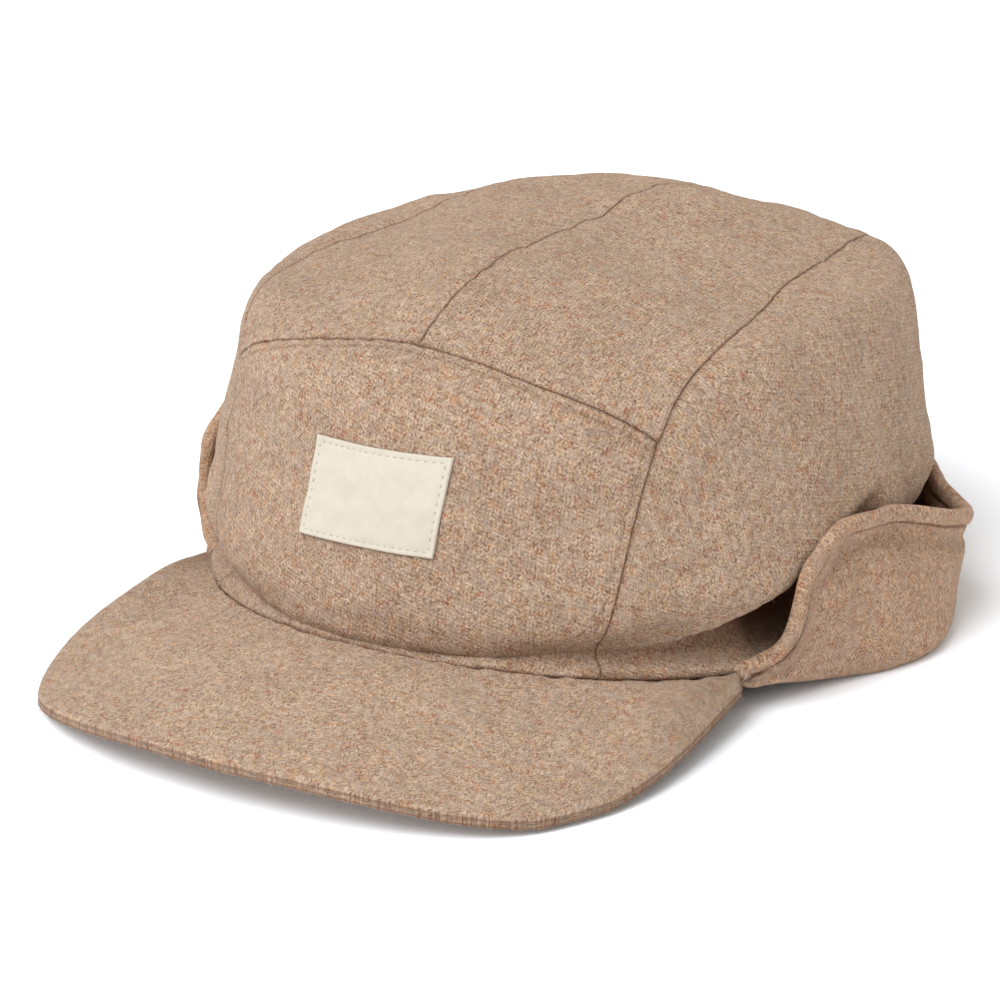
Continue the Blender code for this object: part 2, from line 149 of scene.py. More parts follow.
FlapPoint = namedtuple("FlapPoint", "knot lean hem fold edge width flare drop rise lip")
FLAP_SECTION = [FlapPoint(*row) for row in (
    (0, 0, 1, 0, 0, 0, 0, 1, 0, 0),
    (4.5, 0, 0.7, 0.3, 0, 0.3, 0, 0.42, 0, 0),
    (8.5, 0, 0.25, 0.75, 0, 0.75, 0, 0.08, 0, 0),
    (11, 0.02, 0, 1, 0, 0.75, 0, 0, 0, 0),
    (13.4, 0.04, 0, 1, 0, 0.38, 0, 0, 0, 0),
    (16, 0.08, 0, 1, 0, 0.08, 0, 0, 0.06, 0),
    (20.5, 0.2, 0, 0.9, 0.1, 0, 0, 0, 0.2, 0),
    (27.5, 0.4, 0, 0.7, 0.3, 0, 0, 0, 0.4, 0),
    (35, 0.62, 0, 0.4, 0.6, 0, 0, 0, 0.62, 0),
    (41.5, 0.8, 0, 0, 1, 0, 1, 0, 1, 1),
    (46, 0.92, 0, 0, 1, 0, 0.6, 0, 1, 0.4),
    (49, 1, 0, 0, 1, 0, 0, 0, 1, 0),
)]

# How many faces each fine piece of cloth has along its two directions, and how much closer together they
# are near its edges
UP_FACES = 96
OVER_FACES = 150
HALF_FACES = 60
PEAK_FACES_ACROSS = 200
PEAK_FACES_DEEP = 72
FLAP_FACES_ALONG = 360
FLAP_FACES_UP = 84
LABEL_FACES_ACROSS = 66
LABEL_FACES_UP = 42
END_CROWDING = 0.75
PEAK_CROWDING = 0.6
FLAP_END_CROWDING = 0.55
FLAP_EDGE_CROWDING = 0.5
LABEL_CROWDING = 0.8

# Points of a line that distances are measured to, and how many places are measured at a time
HEM_POINTS = 721
FOLD_POINTS = 25
LABEL_LINE_POINTS = 451
BATCH = 4096

# Even noise: how many waves it has and how far their lengths are spread
RIPPLE_WAVES = 28
RIPPLE_SPREAD = (0.75, 1.3)

# A rise of the cloth, how far from a line it is highest, and its half width
Hump = namedtuple("Hump", "height at width")

# Seams: the cloth rolls in where two pieces meet
SEAM_ROLL = 0.48 * MM
SEAM_DIP = 0.18 * MM
SEAM_DIP_WIDTH = 2.6 * MM
SEAM_STAIN = 0.52
SEAM_STAIN_WIDTH = 0.5 * MM
ALLOWANCE = Hump(0.24 * MM, 4.2 * MM, 2.4 * MM)
PLAIN_ALLOWANCE = 0.4
PUCKER = 0.16 * MM
PUCKER_WAVE = 5 * MM
PUCKER_REACH = 5 * MM
STITCH_AT = 2.7 * MM
STITCH_PITCH = 2.9 * MM
STITCH_BEAT = 0.4
STITCH_STAIN = 0.45
STITCH_DIP = 0.3 * MM
STITCH_DIP_WIDTH = 0.45 * MM

# Unevenness of soft cloth: height, wavelength and seed of each ripple
SOFT_RIPPLES = ((0.36 * MM, 48 * MM, 11), (0.2 * MM, 21 * MM, 12), (0.08 * MM, 8 * MM, 13))
FLAP_RIPPLES = ((0.5 * MM, 40 * MM, 51), (0.2 * MM, 16 * MM, 52))

# Soft folds of the crown, between two places on it: half widths and heights over the even surface
FoldRow = namedtuple("FoldRow", "angle out to_angle to_out width height")
FOLDS = [FoldRow(*ends, width * MM, height * MM) for *ends, width, height in (
    (-72, 0.33, -135, 0.3, 8, 0.9),
    (-76, 0.4, -120, 0.355, 6, -0.9),
    (-70, 0.57, -140, 0.47, 14, -1.6),
    (164, 0.37, 148, 0.47, 12, -1.5),
    (-60, 0.68, -57, 0.84, 9, -2.8),
    (175, 0.08, 96, 0.15, 9, -1.3),
    (96, 0.66, 103, 0.86, 5, -1.2),
    (-39, 0.6, -25, 0.76, 7, -0.5),
)]

# The crown hangs over its hem towards the flaps: the crease, how far the cloth above it swells and how far
# the cloth under it is tucked in
TuckRow = namedtuple("TuckRow", "angle crease swell depth")
TUCK_ROWS = [TuckRow(*place, swell * MM, depth * MM) for *place, swell, depth in (
    (0, 0.925, 0.3, 0.4),
    (25, 0.93, 0.3, 0.5),
    (40, 0.942, 0.4, 1),
    (46, 0.95, 0.6, 1.8),
    (52.5, 0.949, 0.9, 3),
    (60, 0.931, 1.2, 4.5),
    (65, 0.908, 1.4, 6.5),
    (69, 0.885, 1.5, 12),
    (76, 0.845, 1.5, 14.5),
    (81, 0.825, 1, 9),
    (87, 0.81, 0.5, 3),
    (94, 0.79, 0, 0),
)]
TUCK_SWELL_WIDTH = 7 * MM
TUCK_TURN = 1.5 * MM
TUCK_FULL_AT = 0.75
# Painted shade in the pocket under the overhang: the tucked cloth is painted darker the deeper it lies, fully
# at this depth
POCKET_SHADE_DEPTH = 8 * MM
# Painted shade over the crease, where the overhang's shadow falls: its darkness, distance from the hem and
# half width
CREASE_PAINTED_SHADE = Hump(0.3, 6.5 * MM, 3 * MM)

# How much of the tuck the front of the wearer's right has, at turns round the crown
RIGHT_TUCK_TURNS = (-68, -60, -20, 0)
RIGHT_TUCK_SHARES = (1, 0.4, 0.4, 1)

# The ridge over the hem, and the fuller cloth over it in front: sizes, and shares at angles from the front
HEM_RIDGE = 2.0 * MM
HEM_RIDGE_AT = 1.7 * MM
HEM_RIDGE_WIDTH = 1.9 * MM
HEM_RIDGE_TOP = 1.5 * HEM_RIDGE_AT
HEM_RIDGE_ANGLES = (30, 55)
HEM_RIDGE_SHARES = (0.3, 1)
WAIST_FILL = Hump(0.9 * MM, 4 * MM, 2.2 * MM)
WAIST_FILL_ANGLES = (40, 58)


def smooth_curve(knots, values, at):
    """A natural cubic spline through the knots, read at the given places."""
    knots = np.asarray(knots, float)
    values = np.asarray(values, float)
    count = len(knots)
    width = np.diff(knots)
    rise = np.diff(values) / width
    matrix = np.eye(count)
    bends = np.zeros(count)
    for i in range(1, count - 1):
        matrix[i, i - 1 : i + 2] = (width[i - 1], 2 * (width[i - 1] + width[i]), width[i])
        bends[i] = 6 * (rise[i] - rise[i - 1])
    curvature = np.linalg.solve(matrix, bends)
    at = np.asarray(at, float)
    left = np.clip(np.searchsorted(knots, at, side="right") - 1, 0, count - 2)
    past = at - knots[left]
    slope = rise[left] - width[left] * (2 * curvature[left] + curvature[left + 1]) / 6
    cubic = (curvature[left + 1] - curvature[left]) / (6 * width[left])
    return values[left] + past * (slope + past * (curvature[left] / 2 + past * cubic))


def read_column(rows, column, at):
    """One column of a table, smoothed along the table's first column."""
    return smooth_curve([row[0] for row in rows], [getattr(row, column) for row in rows], at)


def norm(vectors):
    return np.linalg.norm(vectors, axis=-1)


def stack(*values):
    return np.stack(values, axis=-1)


def unit(vectors):
    return vectors / np.linalg.norm(vectors, axis=-1, keepdims=True)


def bell(distance, width):
    return np.exp(-((distance / width) ** 2))


def hump(distance, form):
    return form.height * bell(distance - form.at, form.width)


# The middle of the crown lies behind the middle of the cap, which is the frame's origin
CROWN_MIDDLE = np.array([0.0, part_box("peak_top")[0].y + FRONT_REACH + PEAK_DEPTH, 0.0])


def crown_profile(side, reach, hem_height, out):
    rise = read_column(CROWN_ROWS, side + "_rise", out)
    return (
        reach * read_column(CROWN_ROWS, side + "_reach", out),
        hem_height + (CROWN_HEIGHT - hem_height) * rise,
    )


def crown_surface(disk):
    """Points of the crown's even outer surface for points of the unit disk, which has the front at -Y."""
    out = norm(disk)
    safe_out = np.maximum(out, SMALL_STEP / 1e6)
    sine = disk[..., 0] / safe_out
    cosine = -disk[..., 1] / safe_out
    front_reach, front_height = crown_profile("front", FRONT_REACH, HEM_FRONT_HEIGHT, out)
    side_reach, side_height = crown_profile("side", SIDE_REACH, HEM_SIDE_HEIGHT, out)
    back_reach, back_height = crown_profile("back", BACK_REACH, HEM_BACK_HEIGHT, out)
    in_front = cosine > 0
    reach = np.where(in_front, front_reach, back_reach)
    height = np.where(in_front, front_height, back_height)
    waist = np.sin(np.pi * np.clip(out, 0, 1) ** WAIST_SKEW)
    square = 1 + BACK_SQUARENESS * waist * (1 - cosine) / 2 * (2 * sine * cosine) ** 2
    x = side_reach * sine * square
    y = -reach * cosine * square
    z = height * cosine**2 + side_height * sine**2
    return stack(x, y, z) + CROWN_MIDDLE


def crown_normals(disk):
    """Outward unit normals of the crown, from slopes measured a small step to each side."""
    step_x = np.array([SMALL_STEP, 0.0])
    step_y = np.array([0.0, SMALL_STEP])
    along_x = crown_surface(disk + step_x) - crown_surface(disk - step_x)
    along_y = crown_surface(disk + step_y) - crown_surface(disk - step_y)
    return unit(np.cross(along_x, along_y))


def disk_point(angle, out):
    turn = np.radians(angle)
    return stack(out * np.sin(turn), -out * np.cos(turn))


def mirrored(points):
    """The same points on the other side of the cap."""
    return points * np.array([-1.0] + [1.0] * (points.shape[-1] - 1))


def side_seam(along):
    """The wearer's left side seam on the disk."""
    angle = read_column(SIDE_SEAM_ROWS, "angle", along)
    out = read_column(SIDE_SEAM_ROWS, "out", along)
    return disk_point(angle, out)


def front_seam(across):
    """The seam over the front panel on the disk, from -1 at its right end to 1 at its left end."""
    corner_angle = read_column(SIDE_SEAM_ROWS, "angle", FRONT_CORNER_ALONG)
    corner_out = read_column(SIDE_SEAM_ROWS, "out", FRONT_CORNER_ALONG)
    out = FRONT_SEAM_MIDDLE_OUT + (corner_out - FRONT_SEAM_MIDDLE_OUT) * across**2
    return disk_point(across * corner_angle, out)


def crowded(faces, crowding=END_CROWDING):
    """Shares from 0 to 1, closer together near both ends."""
    even = np.linspace(0, 1, faces + 1)
    return even - crowding * np.sin(2 * np.pi * even) / (2 * np.pi)


def shares_of_length(line):
    length = np.concatenate([[0], np.cumsum(norm(np.diff(line, axis=0)))])
    return length / length[-1]


def fill_patch(bottom, top, left, right, over):
    """A grid of disk points between four edges that meet at their ends. Over is the share of the way across
    of each point of the bottom and of the top."""
    over = over[None, :, None]
    up = shares_of_length(right)[:, None, None]
    between_ends = (1 - up) * bottom[None] + up * top[None]
    between_sides = (1 - over) * left[:, None] + over * right[:, None]
    corners = (1 - up) * ((1 - over) * bottom[0] + over * bottom[-1])
    corners = corners + up * ((1 - over) * top[0] + over * top[-1])
    return between_ends + between_sides - corners


def ripple(points, wavelength, seed):
    """Even noise of about unit size with one wavelength, from waves in random directions."""
    chance = np.random.default_rng(seed)
    ways = unit(chance.normal(size=(RIPPLE_WAVES, 3))) * 2 * np.pi / wavelength
    ways *= chance.uniform(*RIPPLE_SPREAD, size=(RIPPLE_WAVES, 1))
    phases = chance.uniform(0, 2 * np.pi, size=RIPPLE_WAVES)
    total = sum(np.cos(points @ way + phase) for way, phase in zip(ways, phases))
    return total * math.sqrt(2 / RIPPLE_WAVES)


def ripples(points, rows):
    return sum(height * ripple(points, wavelength, seed) for height, wavelength, seed in rows)


def as_line(along):
    """Places along a line as points, for a ripple that runs along it."""
    return stack(along, 0 * along, 0 * along)


def nearest_on(points, line):
    """For each point, its distance to a line of points and how far along the line its nearest place is."""
    flat = points.reshape(-1, 3)
    start, step = line[:-1], np.diff(line, axis=0)
    length = norm(step)
    before = np.concatenate([[0], np.cumsum(length)])
    distance = np.empty(len(flat))
    along = np.empty(len(flat))
    for first in range(0, len(flat), BATCH):
        part = flat[first : first + BATCH, None] - start[None]
        share = np.clip(np.sum(part * step, axis=-1) / length**2, 0, 1)
        gap = norm(part - share[..., None] * step)
        best = gap.argmin(axis=1)
        row = np.arange(len(best))
        distance[first : first + BATCH] = gap[row, best]
        along[first : first + BATCH] = before[best] + share[row, best] * length[best]
    return distance.reshape(points.shape[:-1]), along.reshape(points.shape[:-1])


def soft_form(points):
    """How far the crown's cloth stands over the even surface in soft folds and its own unevenness."""
    height = ripples(points, SOFT_RIPPLES)
    for fold in FOLDS:
        share = np.linspace(0, 1, FOLD_POINTS)
        angle = fold.angle + share * (fold.to_angle - fold.angle)
        out = fold.out + share * (fold.to_out - fold.out)
        distance, _ = nearest_on(points, crown_surface(disk_point(angle, out)))
        height += fold.height * bell(distance, fold.width)
    return height


def hem_form(disk, from_hem):
    """How far the crown's cloth stands over the even surface near the hem, where it swells over a crease, is
    tucked in under it and comes out to a ridge, and how much painted shade it has there, from 0 to 1."""
    out = norm(disk)
    turn = np.degrees(np.arctan2(disk[..., 0], -disk[..., 1]))
    angle = np.abs(turn)
    share = np.interp(turn, RIGHT_TUCK_TURNS, RIGHT_TUCK_SHARES)
    step = disk * (SMALL_STEP / np.maximum(out, SMALL_STEP))[..., None]
    moved = crown_surface(disk + step) - crown_surface(disk - step)
    per_out = norm(moved) / (2 * SMALL_STEP)
    angles = [row.angle for row in TUCK_ROWS]
    crease, swell, depth = (np.interp(angle, angles, [row[i] for row in TUCK_ROWS]) for i in (1, 2, 3))
    swell, depth = swell * share, depth * share
    past = (out - crease) * per_out
    under = np.maximum(past, 0)
    height = swell * np.where(past < 0, bell(past, TUCK_SWELL_WIDTH), bell(under, TUCK_TURN / 2))
    tall = np.maximum((1 - crease) * per_out - HEM_RIDGE_TOP, HEM_RIDGE_AT)
    back_out = np.clip((from_hem - HEM_RIDGE_TOP) / (TUCK_FULL_AT * tall), 0, 1)
    tucked = depth * (1 - bell(under, TUCK_TURN)) * np.sin(np.pi / 2 * back_out)
    ridge = np.where(from_hem > HEM_RIDGE_AT, bell(from_hem - HEM_RIDGE_AT, HEM_RIDGE_WIDTH),
                     1 - 0.5 * (1 - from_hem / HEM_RIDGE_AT) ** 2)
    height += HEM_RIDGE * np.interp(angle, HEM_RIDGE_ANGLES, HEM_RIDGE_SHARES) * ridge - tucked
    height += np.interp(angle, WAIST_FILL_ANGLES, (1, 0)) * hump(from_hem, WAIST_FILL)
    # Painted shade: the cloth is painted darker the deeper it is tucked in under the overhang, and a band of
    # painted shade lies over the crease above the ridge
    brown_and_painted_shade = np.clip(tucked / POCKET_SHADE_DEPTH, 0, 1)
    return height, np.maximum(brown_and_painted_shade, share * hump(from_hem, CREASE_PAINTED_SHADE))


def rolled_in(distance):
    """How far cloth rolls down to a seam at this distance."""
    near = np.clip(distance, 0, SEAM_ROLL)
    return np.sqrt(SEAM_ROLL**2 - (SEAM_ROLL - near) ** 2) - SEAM_ROLL


def pucker(distance, along, seed):
    return PUCKER * ripple(as_line(along), PUCKER_WAVE, seed) * bell(distance, PUCKER_REACH)


def stitch_marks(distance, along):
    """The row of topstitches beside a seam, from 0 to 1."""
    beat = 1 - STITCH_BEAT + STITCH_BEAT * np.cos(2 * np.pi * along / STITCH_PITCH)
    return beat * bell(distance - STITCH_AT, STITCH_DIP_WIDTH)


def seam_stain(distance, along, stitched):
    """How brown the cloth is in and beside a seam, from 0 to 1."""
    brown_and_painted_shade = SEAM_STAIN * bell(distance, SEAM_STAIN_WIDTH)
    if stitched:
        brown_and_painted_shade = np.maximum(brown_and_painted_shade, STITCH_STAIN * stitch_marks(distance, along))
    return brown_and_painted_shade


def seam_form(distance, along, stitched, seed):
    """How the cloth dips into a seam: distance is from the seam and along is the place along it."""
    height = rolled_in(distance)
    height -= SEAM_DIP * bell(distance, SEAM_DIP_WIDTH)
    allowance = hump(distance, ALLOWANCE)
    height += allowance if stitched else PLAIN_ALLOWANCE * allowance
    height += pucker(distance, along, seed)
    if stitched:
        height -= STITCH_DIP * stitch_marks(distance, along)
    return height


def cloth_places(points):
    """Flat places of a grid of cloth in metres: across from its middle column and up from its first row."""
    across = norm(np.diff(points, axis=1))
    across = np.concatenate([np.zeros((len(points), 1)), np.cumsum(across, axis=1)], axis=1)
    across = across - across[:, across.shape[1] // 2][:, None]
    up = norm(np.diff(points, axis=0))
    up = np.concatenate([np.zeros((1, points.shape[1])), np.cumsum(up, axis=0)], axis=0)
    return stack(across, up)


def add_mesh(name, points, faces, places=None, brown_and_painted_shade=None):
    """A smooth mesh object, with its flat cloth places as a UV map, and the brown of its seams together with
    its painted shade.
    """
    data = bpy.data.meshes.new(name)
    data.from_pydata(np.asarray(points).tolist(), [], faces)
    data.validate()
    data.shade_smooth()
    if places is not None:
        corner = np.empty(len(data.loops), np.int32)
        data.loops.foreach_get("vertex_index", corner)
        data.uv_layers.new(name="cloth").data.foreach_set("uv", places[corner].astype(np.float32).ravel())
    if brown_and_painted_shade is not None:
        data.attributes.new("brown_and_painted_shade", "FLOAT", "POINT").data.foreach_set("value", brown_and_painted_shade.astype(np.float32))
    piece = bpy.data.objects.new(name, data)
    bpy.context.scene.collection.objects.link(piece)
    return piece


def add_sheet(name, outer, inner, places, brown_and_painted_shade=None):
    """A closed piece of cloth between two grids of points, with a rim round its edge. Its flat size is
    measured over the middle of its thickness."""
    rows, columns = outer.shape[:2]
    count = rows * columns
    index = np.arange(count).reshape(rows, columns)
    quads = stack(index[:-1, :-1], index[:-1, 1:], index[1:, 1:], index[1:, :-1])
    quads = quads.reshape(-1, 4)
    border = np.concatenate([index[0, :-1], index[:-1, -1], index[-1, :0:-1], index[:0:-1, 0]])
    ahead = np.roll(border, -1)
    rim = stack(ahead, border, border + count, ahead + count)
    faces = np.concatenate([quads, quads[:, ::-1] + count, rim])
    sides = np.cross(outer[1:-1, 2:] - outer[1:-1, :-2], outer[2:, 1:-1] - outer[:-2, 1:-1])
    if np.sum(sides * (outer - inner)[1:-1, 1:-1]) < 0:
        faces = faces[:, ::-1]
    points = np.concatenate([outer.reshape(-1, 3), inner.reshape(-1, 3)])
    brown_and_painted_shade = np.zeros(outer.shape[:2]) if brown_and_painted_shade is None else brown_and_painted_shade
    places = np.concatenate([places.reshape(-1, 2)] * 2)
    piece = add_mesh(name, points, faces.tolist(), places, np.tile(brown_and_painted_shade.ravel(), 2))
    middle = (outer + inner) / 2
    down = middle[1:, 1:] - middle[:-1, :-1]
    up = middle[1:, :-1] - middle[:-1, 1:]
    area = norm(np.cross(down, up)).sum() / 2
    width = norm(np.diff(middle, axis=1)).sum(axis=1).max()
    length = norm(np.diff(middle, axis=0)).sum(axis=0).max()
    return piece


# Loose fibres that stand out of the cloth: how many on each kind of piece, their sizes, and how far their
# ways are spread
CROWN_FUZZ = 900
PEAK_FUZZ = 700
PEAK_EDGE_FUZZ = 900
FLAP_FUZZ = 1500
FUZZ_RADIUS = 0.026 * MM
FUZZ_TAPER = 0.8
FUZZ_LENGTHS = (0.7, 2.2)
FUZZ_ROOT_DEPTH = 0.25 * MM
FUZZ_LEAN = 0.9
FUZZ_BEND = 0.8
FUZZ_TIP_BEND = 0.6
FUZZ_LOWEST = 0.02 * MM
FUZZ_ROOT_SEED = 70
FUZZ_SEED = 7
FUZZ_FACES = [
    (0, 1, 4), (0, 4, 3), (1, 2, 5), (1, 5, 4), (2, 0, 3),
    (2, 3, 5), (3, 4, 6), (4, 5, 6), (5, 3, 6), (0, 2, 1),
]
FUZZ_POINTS = 7
fuzz_roots = []


def shed_fuzz(points, normals, count):
    """Keeps random places of a grid of cloth, where loose fibres will stand."""
    chance = np.random.default_rng(FUZZ_ROOT_SEED + len(fuzz_roots))
    normals = np.broadcast_to(normals, points.shape).reshape(-1, 3)
    picked = chance.integers(0, len(normals), count)
    fuzz_roots.append((points.reshape(-1, 3)[picked], normals[picked]))


def make_fuzz():
    """Thin bent needles, each a closed mesh, at all the places that were kept."""
    chance = np.random.default_rng(FUZZ_SEED)
    root = np.concatenate([points for points, _ in fuzz_roots])
    normal = np.concatenate([normals for _, normals in fuzz_roots])
    count = len(root)
    length = chance.uniform(*FUZZ_LENGTHS, (count, 1)) * MM
    lean = unit(normal + FUZZ_LEAN * chance.normal(size=(count, 3)))
    lean = np.where(np.sum(lean * normal, axis=-1, keepdims=True) < 0, -lean, lean)
    bend = unit(lean + FUZZ_BEND * chance.normal(size=(count, 3)))
    side = unit(np.cross(lean, chance.normal(size=(count, 3))))
    other = np.cross(lean, side)
    low = root - lean * FUZZ_ROOT_DEPTH
    middle = root + lean * length / 2
    tip = middle + unit(lean + FUZZ_TIP_BEND * bend) * length / 2
    rings = []
    for centre, radius in ((low, FUZZ_RADIUS), (middle, FUZZ_TAPER * FUZZ_RADIUS)):
        for turn in np.radians([0, 120, 240]):
            rings.append(centre + radius * (side * math.cos(turn) + other * math.sin(turn)))
    points = np.stack(rings + [tip], axis=1)
    points[..., 2] = np.maximum(points[..., 2], FUZZ_LOWEST)
    faces = FUZZ_POINTS * np.arange(count)[:, None, None] + np.array(FUZZ_FACES)
    return add_mesh("loose_fibres", points.reshape(-1, 3), faces.reshape(-1, 3).tolist())


def add_panel(name, disk, seams):
    """A crown panel over a grid of disk points. Each seam is a line of disk points, whether the panel is
    stitched beside it, and a seed that both of its sides share."""
    base = crown_surface(disk)
    normal = crown_normals(disk)
    distance, _ = nearest_on(base, crown_surface(disk_point(np.linspace(-180, 180, HEM_POINTS), 1.0)))
    height, brown_and_painted_shade = hem_form(disk, distance)
    height = height + soft_form(base)
    inside = height - CROWN_CLOTH
    for line, stitched, seed in seams:
        distance, along = nearest_on(base, crown_surface(line))
        height = height + seam_form(distance, along, stitched, seed)
        brown_and_painted_shade = np.maximum(brown_and_painted_shade, seam_stain(distance, along, stitched))
    outer = base + normal * height[..., None]
    inner = base + normal * np.minimum(inside, height - THINNEST_CROWN)[..., None]
    shed_fuzz(outer, normal, CROWN_FUZZ)
    return add_sheet(name, outer, inner, cloth_places(base), brown_and_painted_shade)


UP = crowded(UP_FACES)
OVER = crowded(OVER_FACES)
HALF = crowded(HALF_FACES)
FRONT_SIDE_SEAM = side_seam(FRONT_CORNER_ALONG * UP)
OVER_SIDE_SEAM = side_seam(FRONT_CORNER_ALONG + (BACK_CORNER_ALONG - FRONT_CORNER_ALONG) * OVER)
BACK_SIDE_SEAM = side_seam(1 - (1 - BACK_CORNER_ALONG) * UP)
HEM_SEED, FRONT_SEED, SIDE_SEED, MIDDLE_SEED = 31, 32, 33, 34


def hem_line(start_angle, end_angle, shares):
    return disk_point(start_angle + (end_angle - start_angle) * shares, 1.0)


def add_panel_pair(name, disk, lines):
    """The wearer's left panel and its mirror image. Lines are the seams on the disk with their seeds."""
    pieces = []
    for side, flip in (("left", lambda line: line), ("right", mirrored)):
        seams = [(flip(line), False, seed) for line, seed in lines]
        pieces.append(add_panel(f"{name}_{side}_wool", flip(disk), seams))
    return pieces


def make_front_panel():
    over = np.concatenate([-HALF[::-1], HALF[1:]])
    end_angle = SIDE_SEAM_ROWS[0].angle
    bottom = disk_point(over * end_angle, 1.0)
    top = front_seam(over)
    disk = fill_patch(bottom, top, mirrored(FRONT_SIDE_SEAM), FRONT_SIDE_SEAM, (over + 1) / 2)
    seams = [
        (bottom, False, HEM_SEED),
        (top, True, FRONT_SEED),
        (FRONT_SIDE_SEAM, True, SIDE_SEED),
        (mirrored(FRONT_SIDE_SEAM), True, SIDE_SEED),
    ]
    return [add_panel("front_panel_wool", disk, seams)]


def make_top_panels():
    seam = np.concatenate([OVER_SIDE_SEAM, BACK_SIDE_SEAM[::-1][1:]])
    bottom = front_seam(HALF)
    top = hem_line(180, SIDE_SEAM_ROWS[-1].angle, HALF)
    middle = bottom[0] + shares_of_length(seam)[:, None] * (top[0] - bottom[0])
    disk = fill_patch(bottom, top, middle, seam, HALF)
    lines = [(bottom, FRONT_SEED), (top, HEM_SEED), (middle, MIDDLE_SEED), (seam, SIDE_SEED)]
    return add_panel_pair("top_panel", disk, lines)


def make_side_panels():
    bottom = hem_line(SIDE_SEAM_ROWS[0].angle, SIDE_SEAM_ROWS[-1].angle, OVER)
    disk = fill_patch(bottom, OVER_SIDE_SEAM, FRONT_SIDE_SEAM, BACK_SIDE_SEAM, OVER)
    lines = [(bottom, HEM_SEED)]
    lines += [(line, SIDE_SEED) for line in (FRONT_SIDE_SEAM, OVER_SIDE_SEAM, BACK_SIDE_SEAM)]
    return add_panel_pair("side_panel", disk, lines)


def hem_frame(angle):
    """At places round the hem: the hem point, the way the cloth runs there, its outward normal and the
    level direction straight out from the hem."""
    disk = disk_point(angle, 1.0)
    point = crown_surface(disk)
    running = unit(crown_surface(disk * (1 + SMALL_STEP)) - crown_surface(disk * (1 - SMALL_STEP)))
    tangent = crown_surface(disk_point(angle + SMALL_TURN, 1.0)) - point
    level = unit(stack(tangent[..., 1], -tangent[..., 0], np.zeros_like(angle)))
    return point, running, crown_normals(disk), level


def rounded(distance, radius):
    """Share of full thickness near a free edge, which is round."""
    near = np.clip(distance / radius, 0, 1)
    return np.sqrt(1 - (1 - near) ** 2)


def grid_normals(grid):
    return unit(np.cross(np.gradient(grid, axis=0), np.gradient(grid, axis=1)))


THINNEST = 0.03 * MM
PEAK_LAYER = 1.6 * MM
PEAK_TUCK_ROWS = ((1.5 * MM, 1.4 * MM), (0.7 * MM, 0.95 * MM))
PEAK_EDGE_ROLL = 1.4 * MM
PEAK_FACING_ROLL = 0.35 * MM
PEAK_LAYER_GAP = 0.1 * MM
PEAK_FULLNESS = 1.0 * MM
PEAK_SIDE_FULLNESS = Hump(4.6 * MM, 0.88, 0.13)
PEAK_RIPPLES = ((0.25 * MM, 30 * MM, 41),)
PEAK_SWELL = Hump(0.16, 2.6 * MM, 2.2 * MM)
PEAK_EDGE_RIPPLES = ((0.07, 6 * MM, 42),)
PEAK_EDGE_RIPPLE_REACH = 4 * MM
PEAK_CORNER_THINNING = 0.35
PEAK_CORNER_WIDTH = 0.04
PEAK_STAIN = 0.65
PEAK_EDGE_STAIN_WIDTH = 0.14 * MM
PEAK_EDGE_FUZZ_DROP = 0.3 * MM


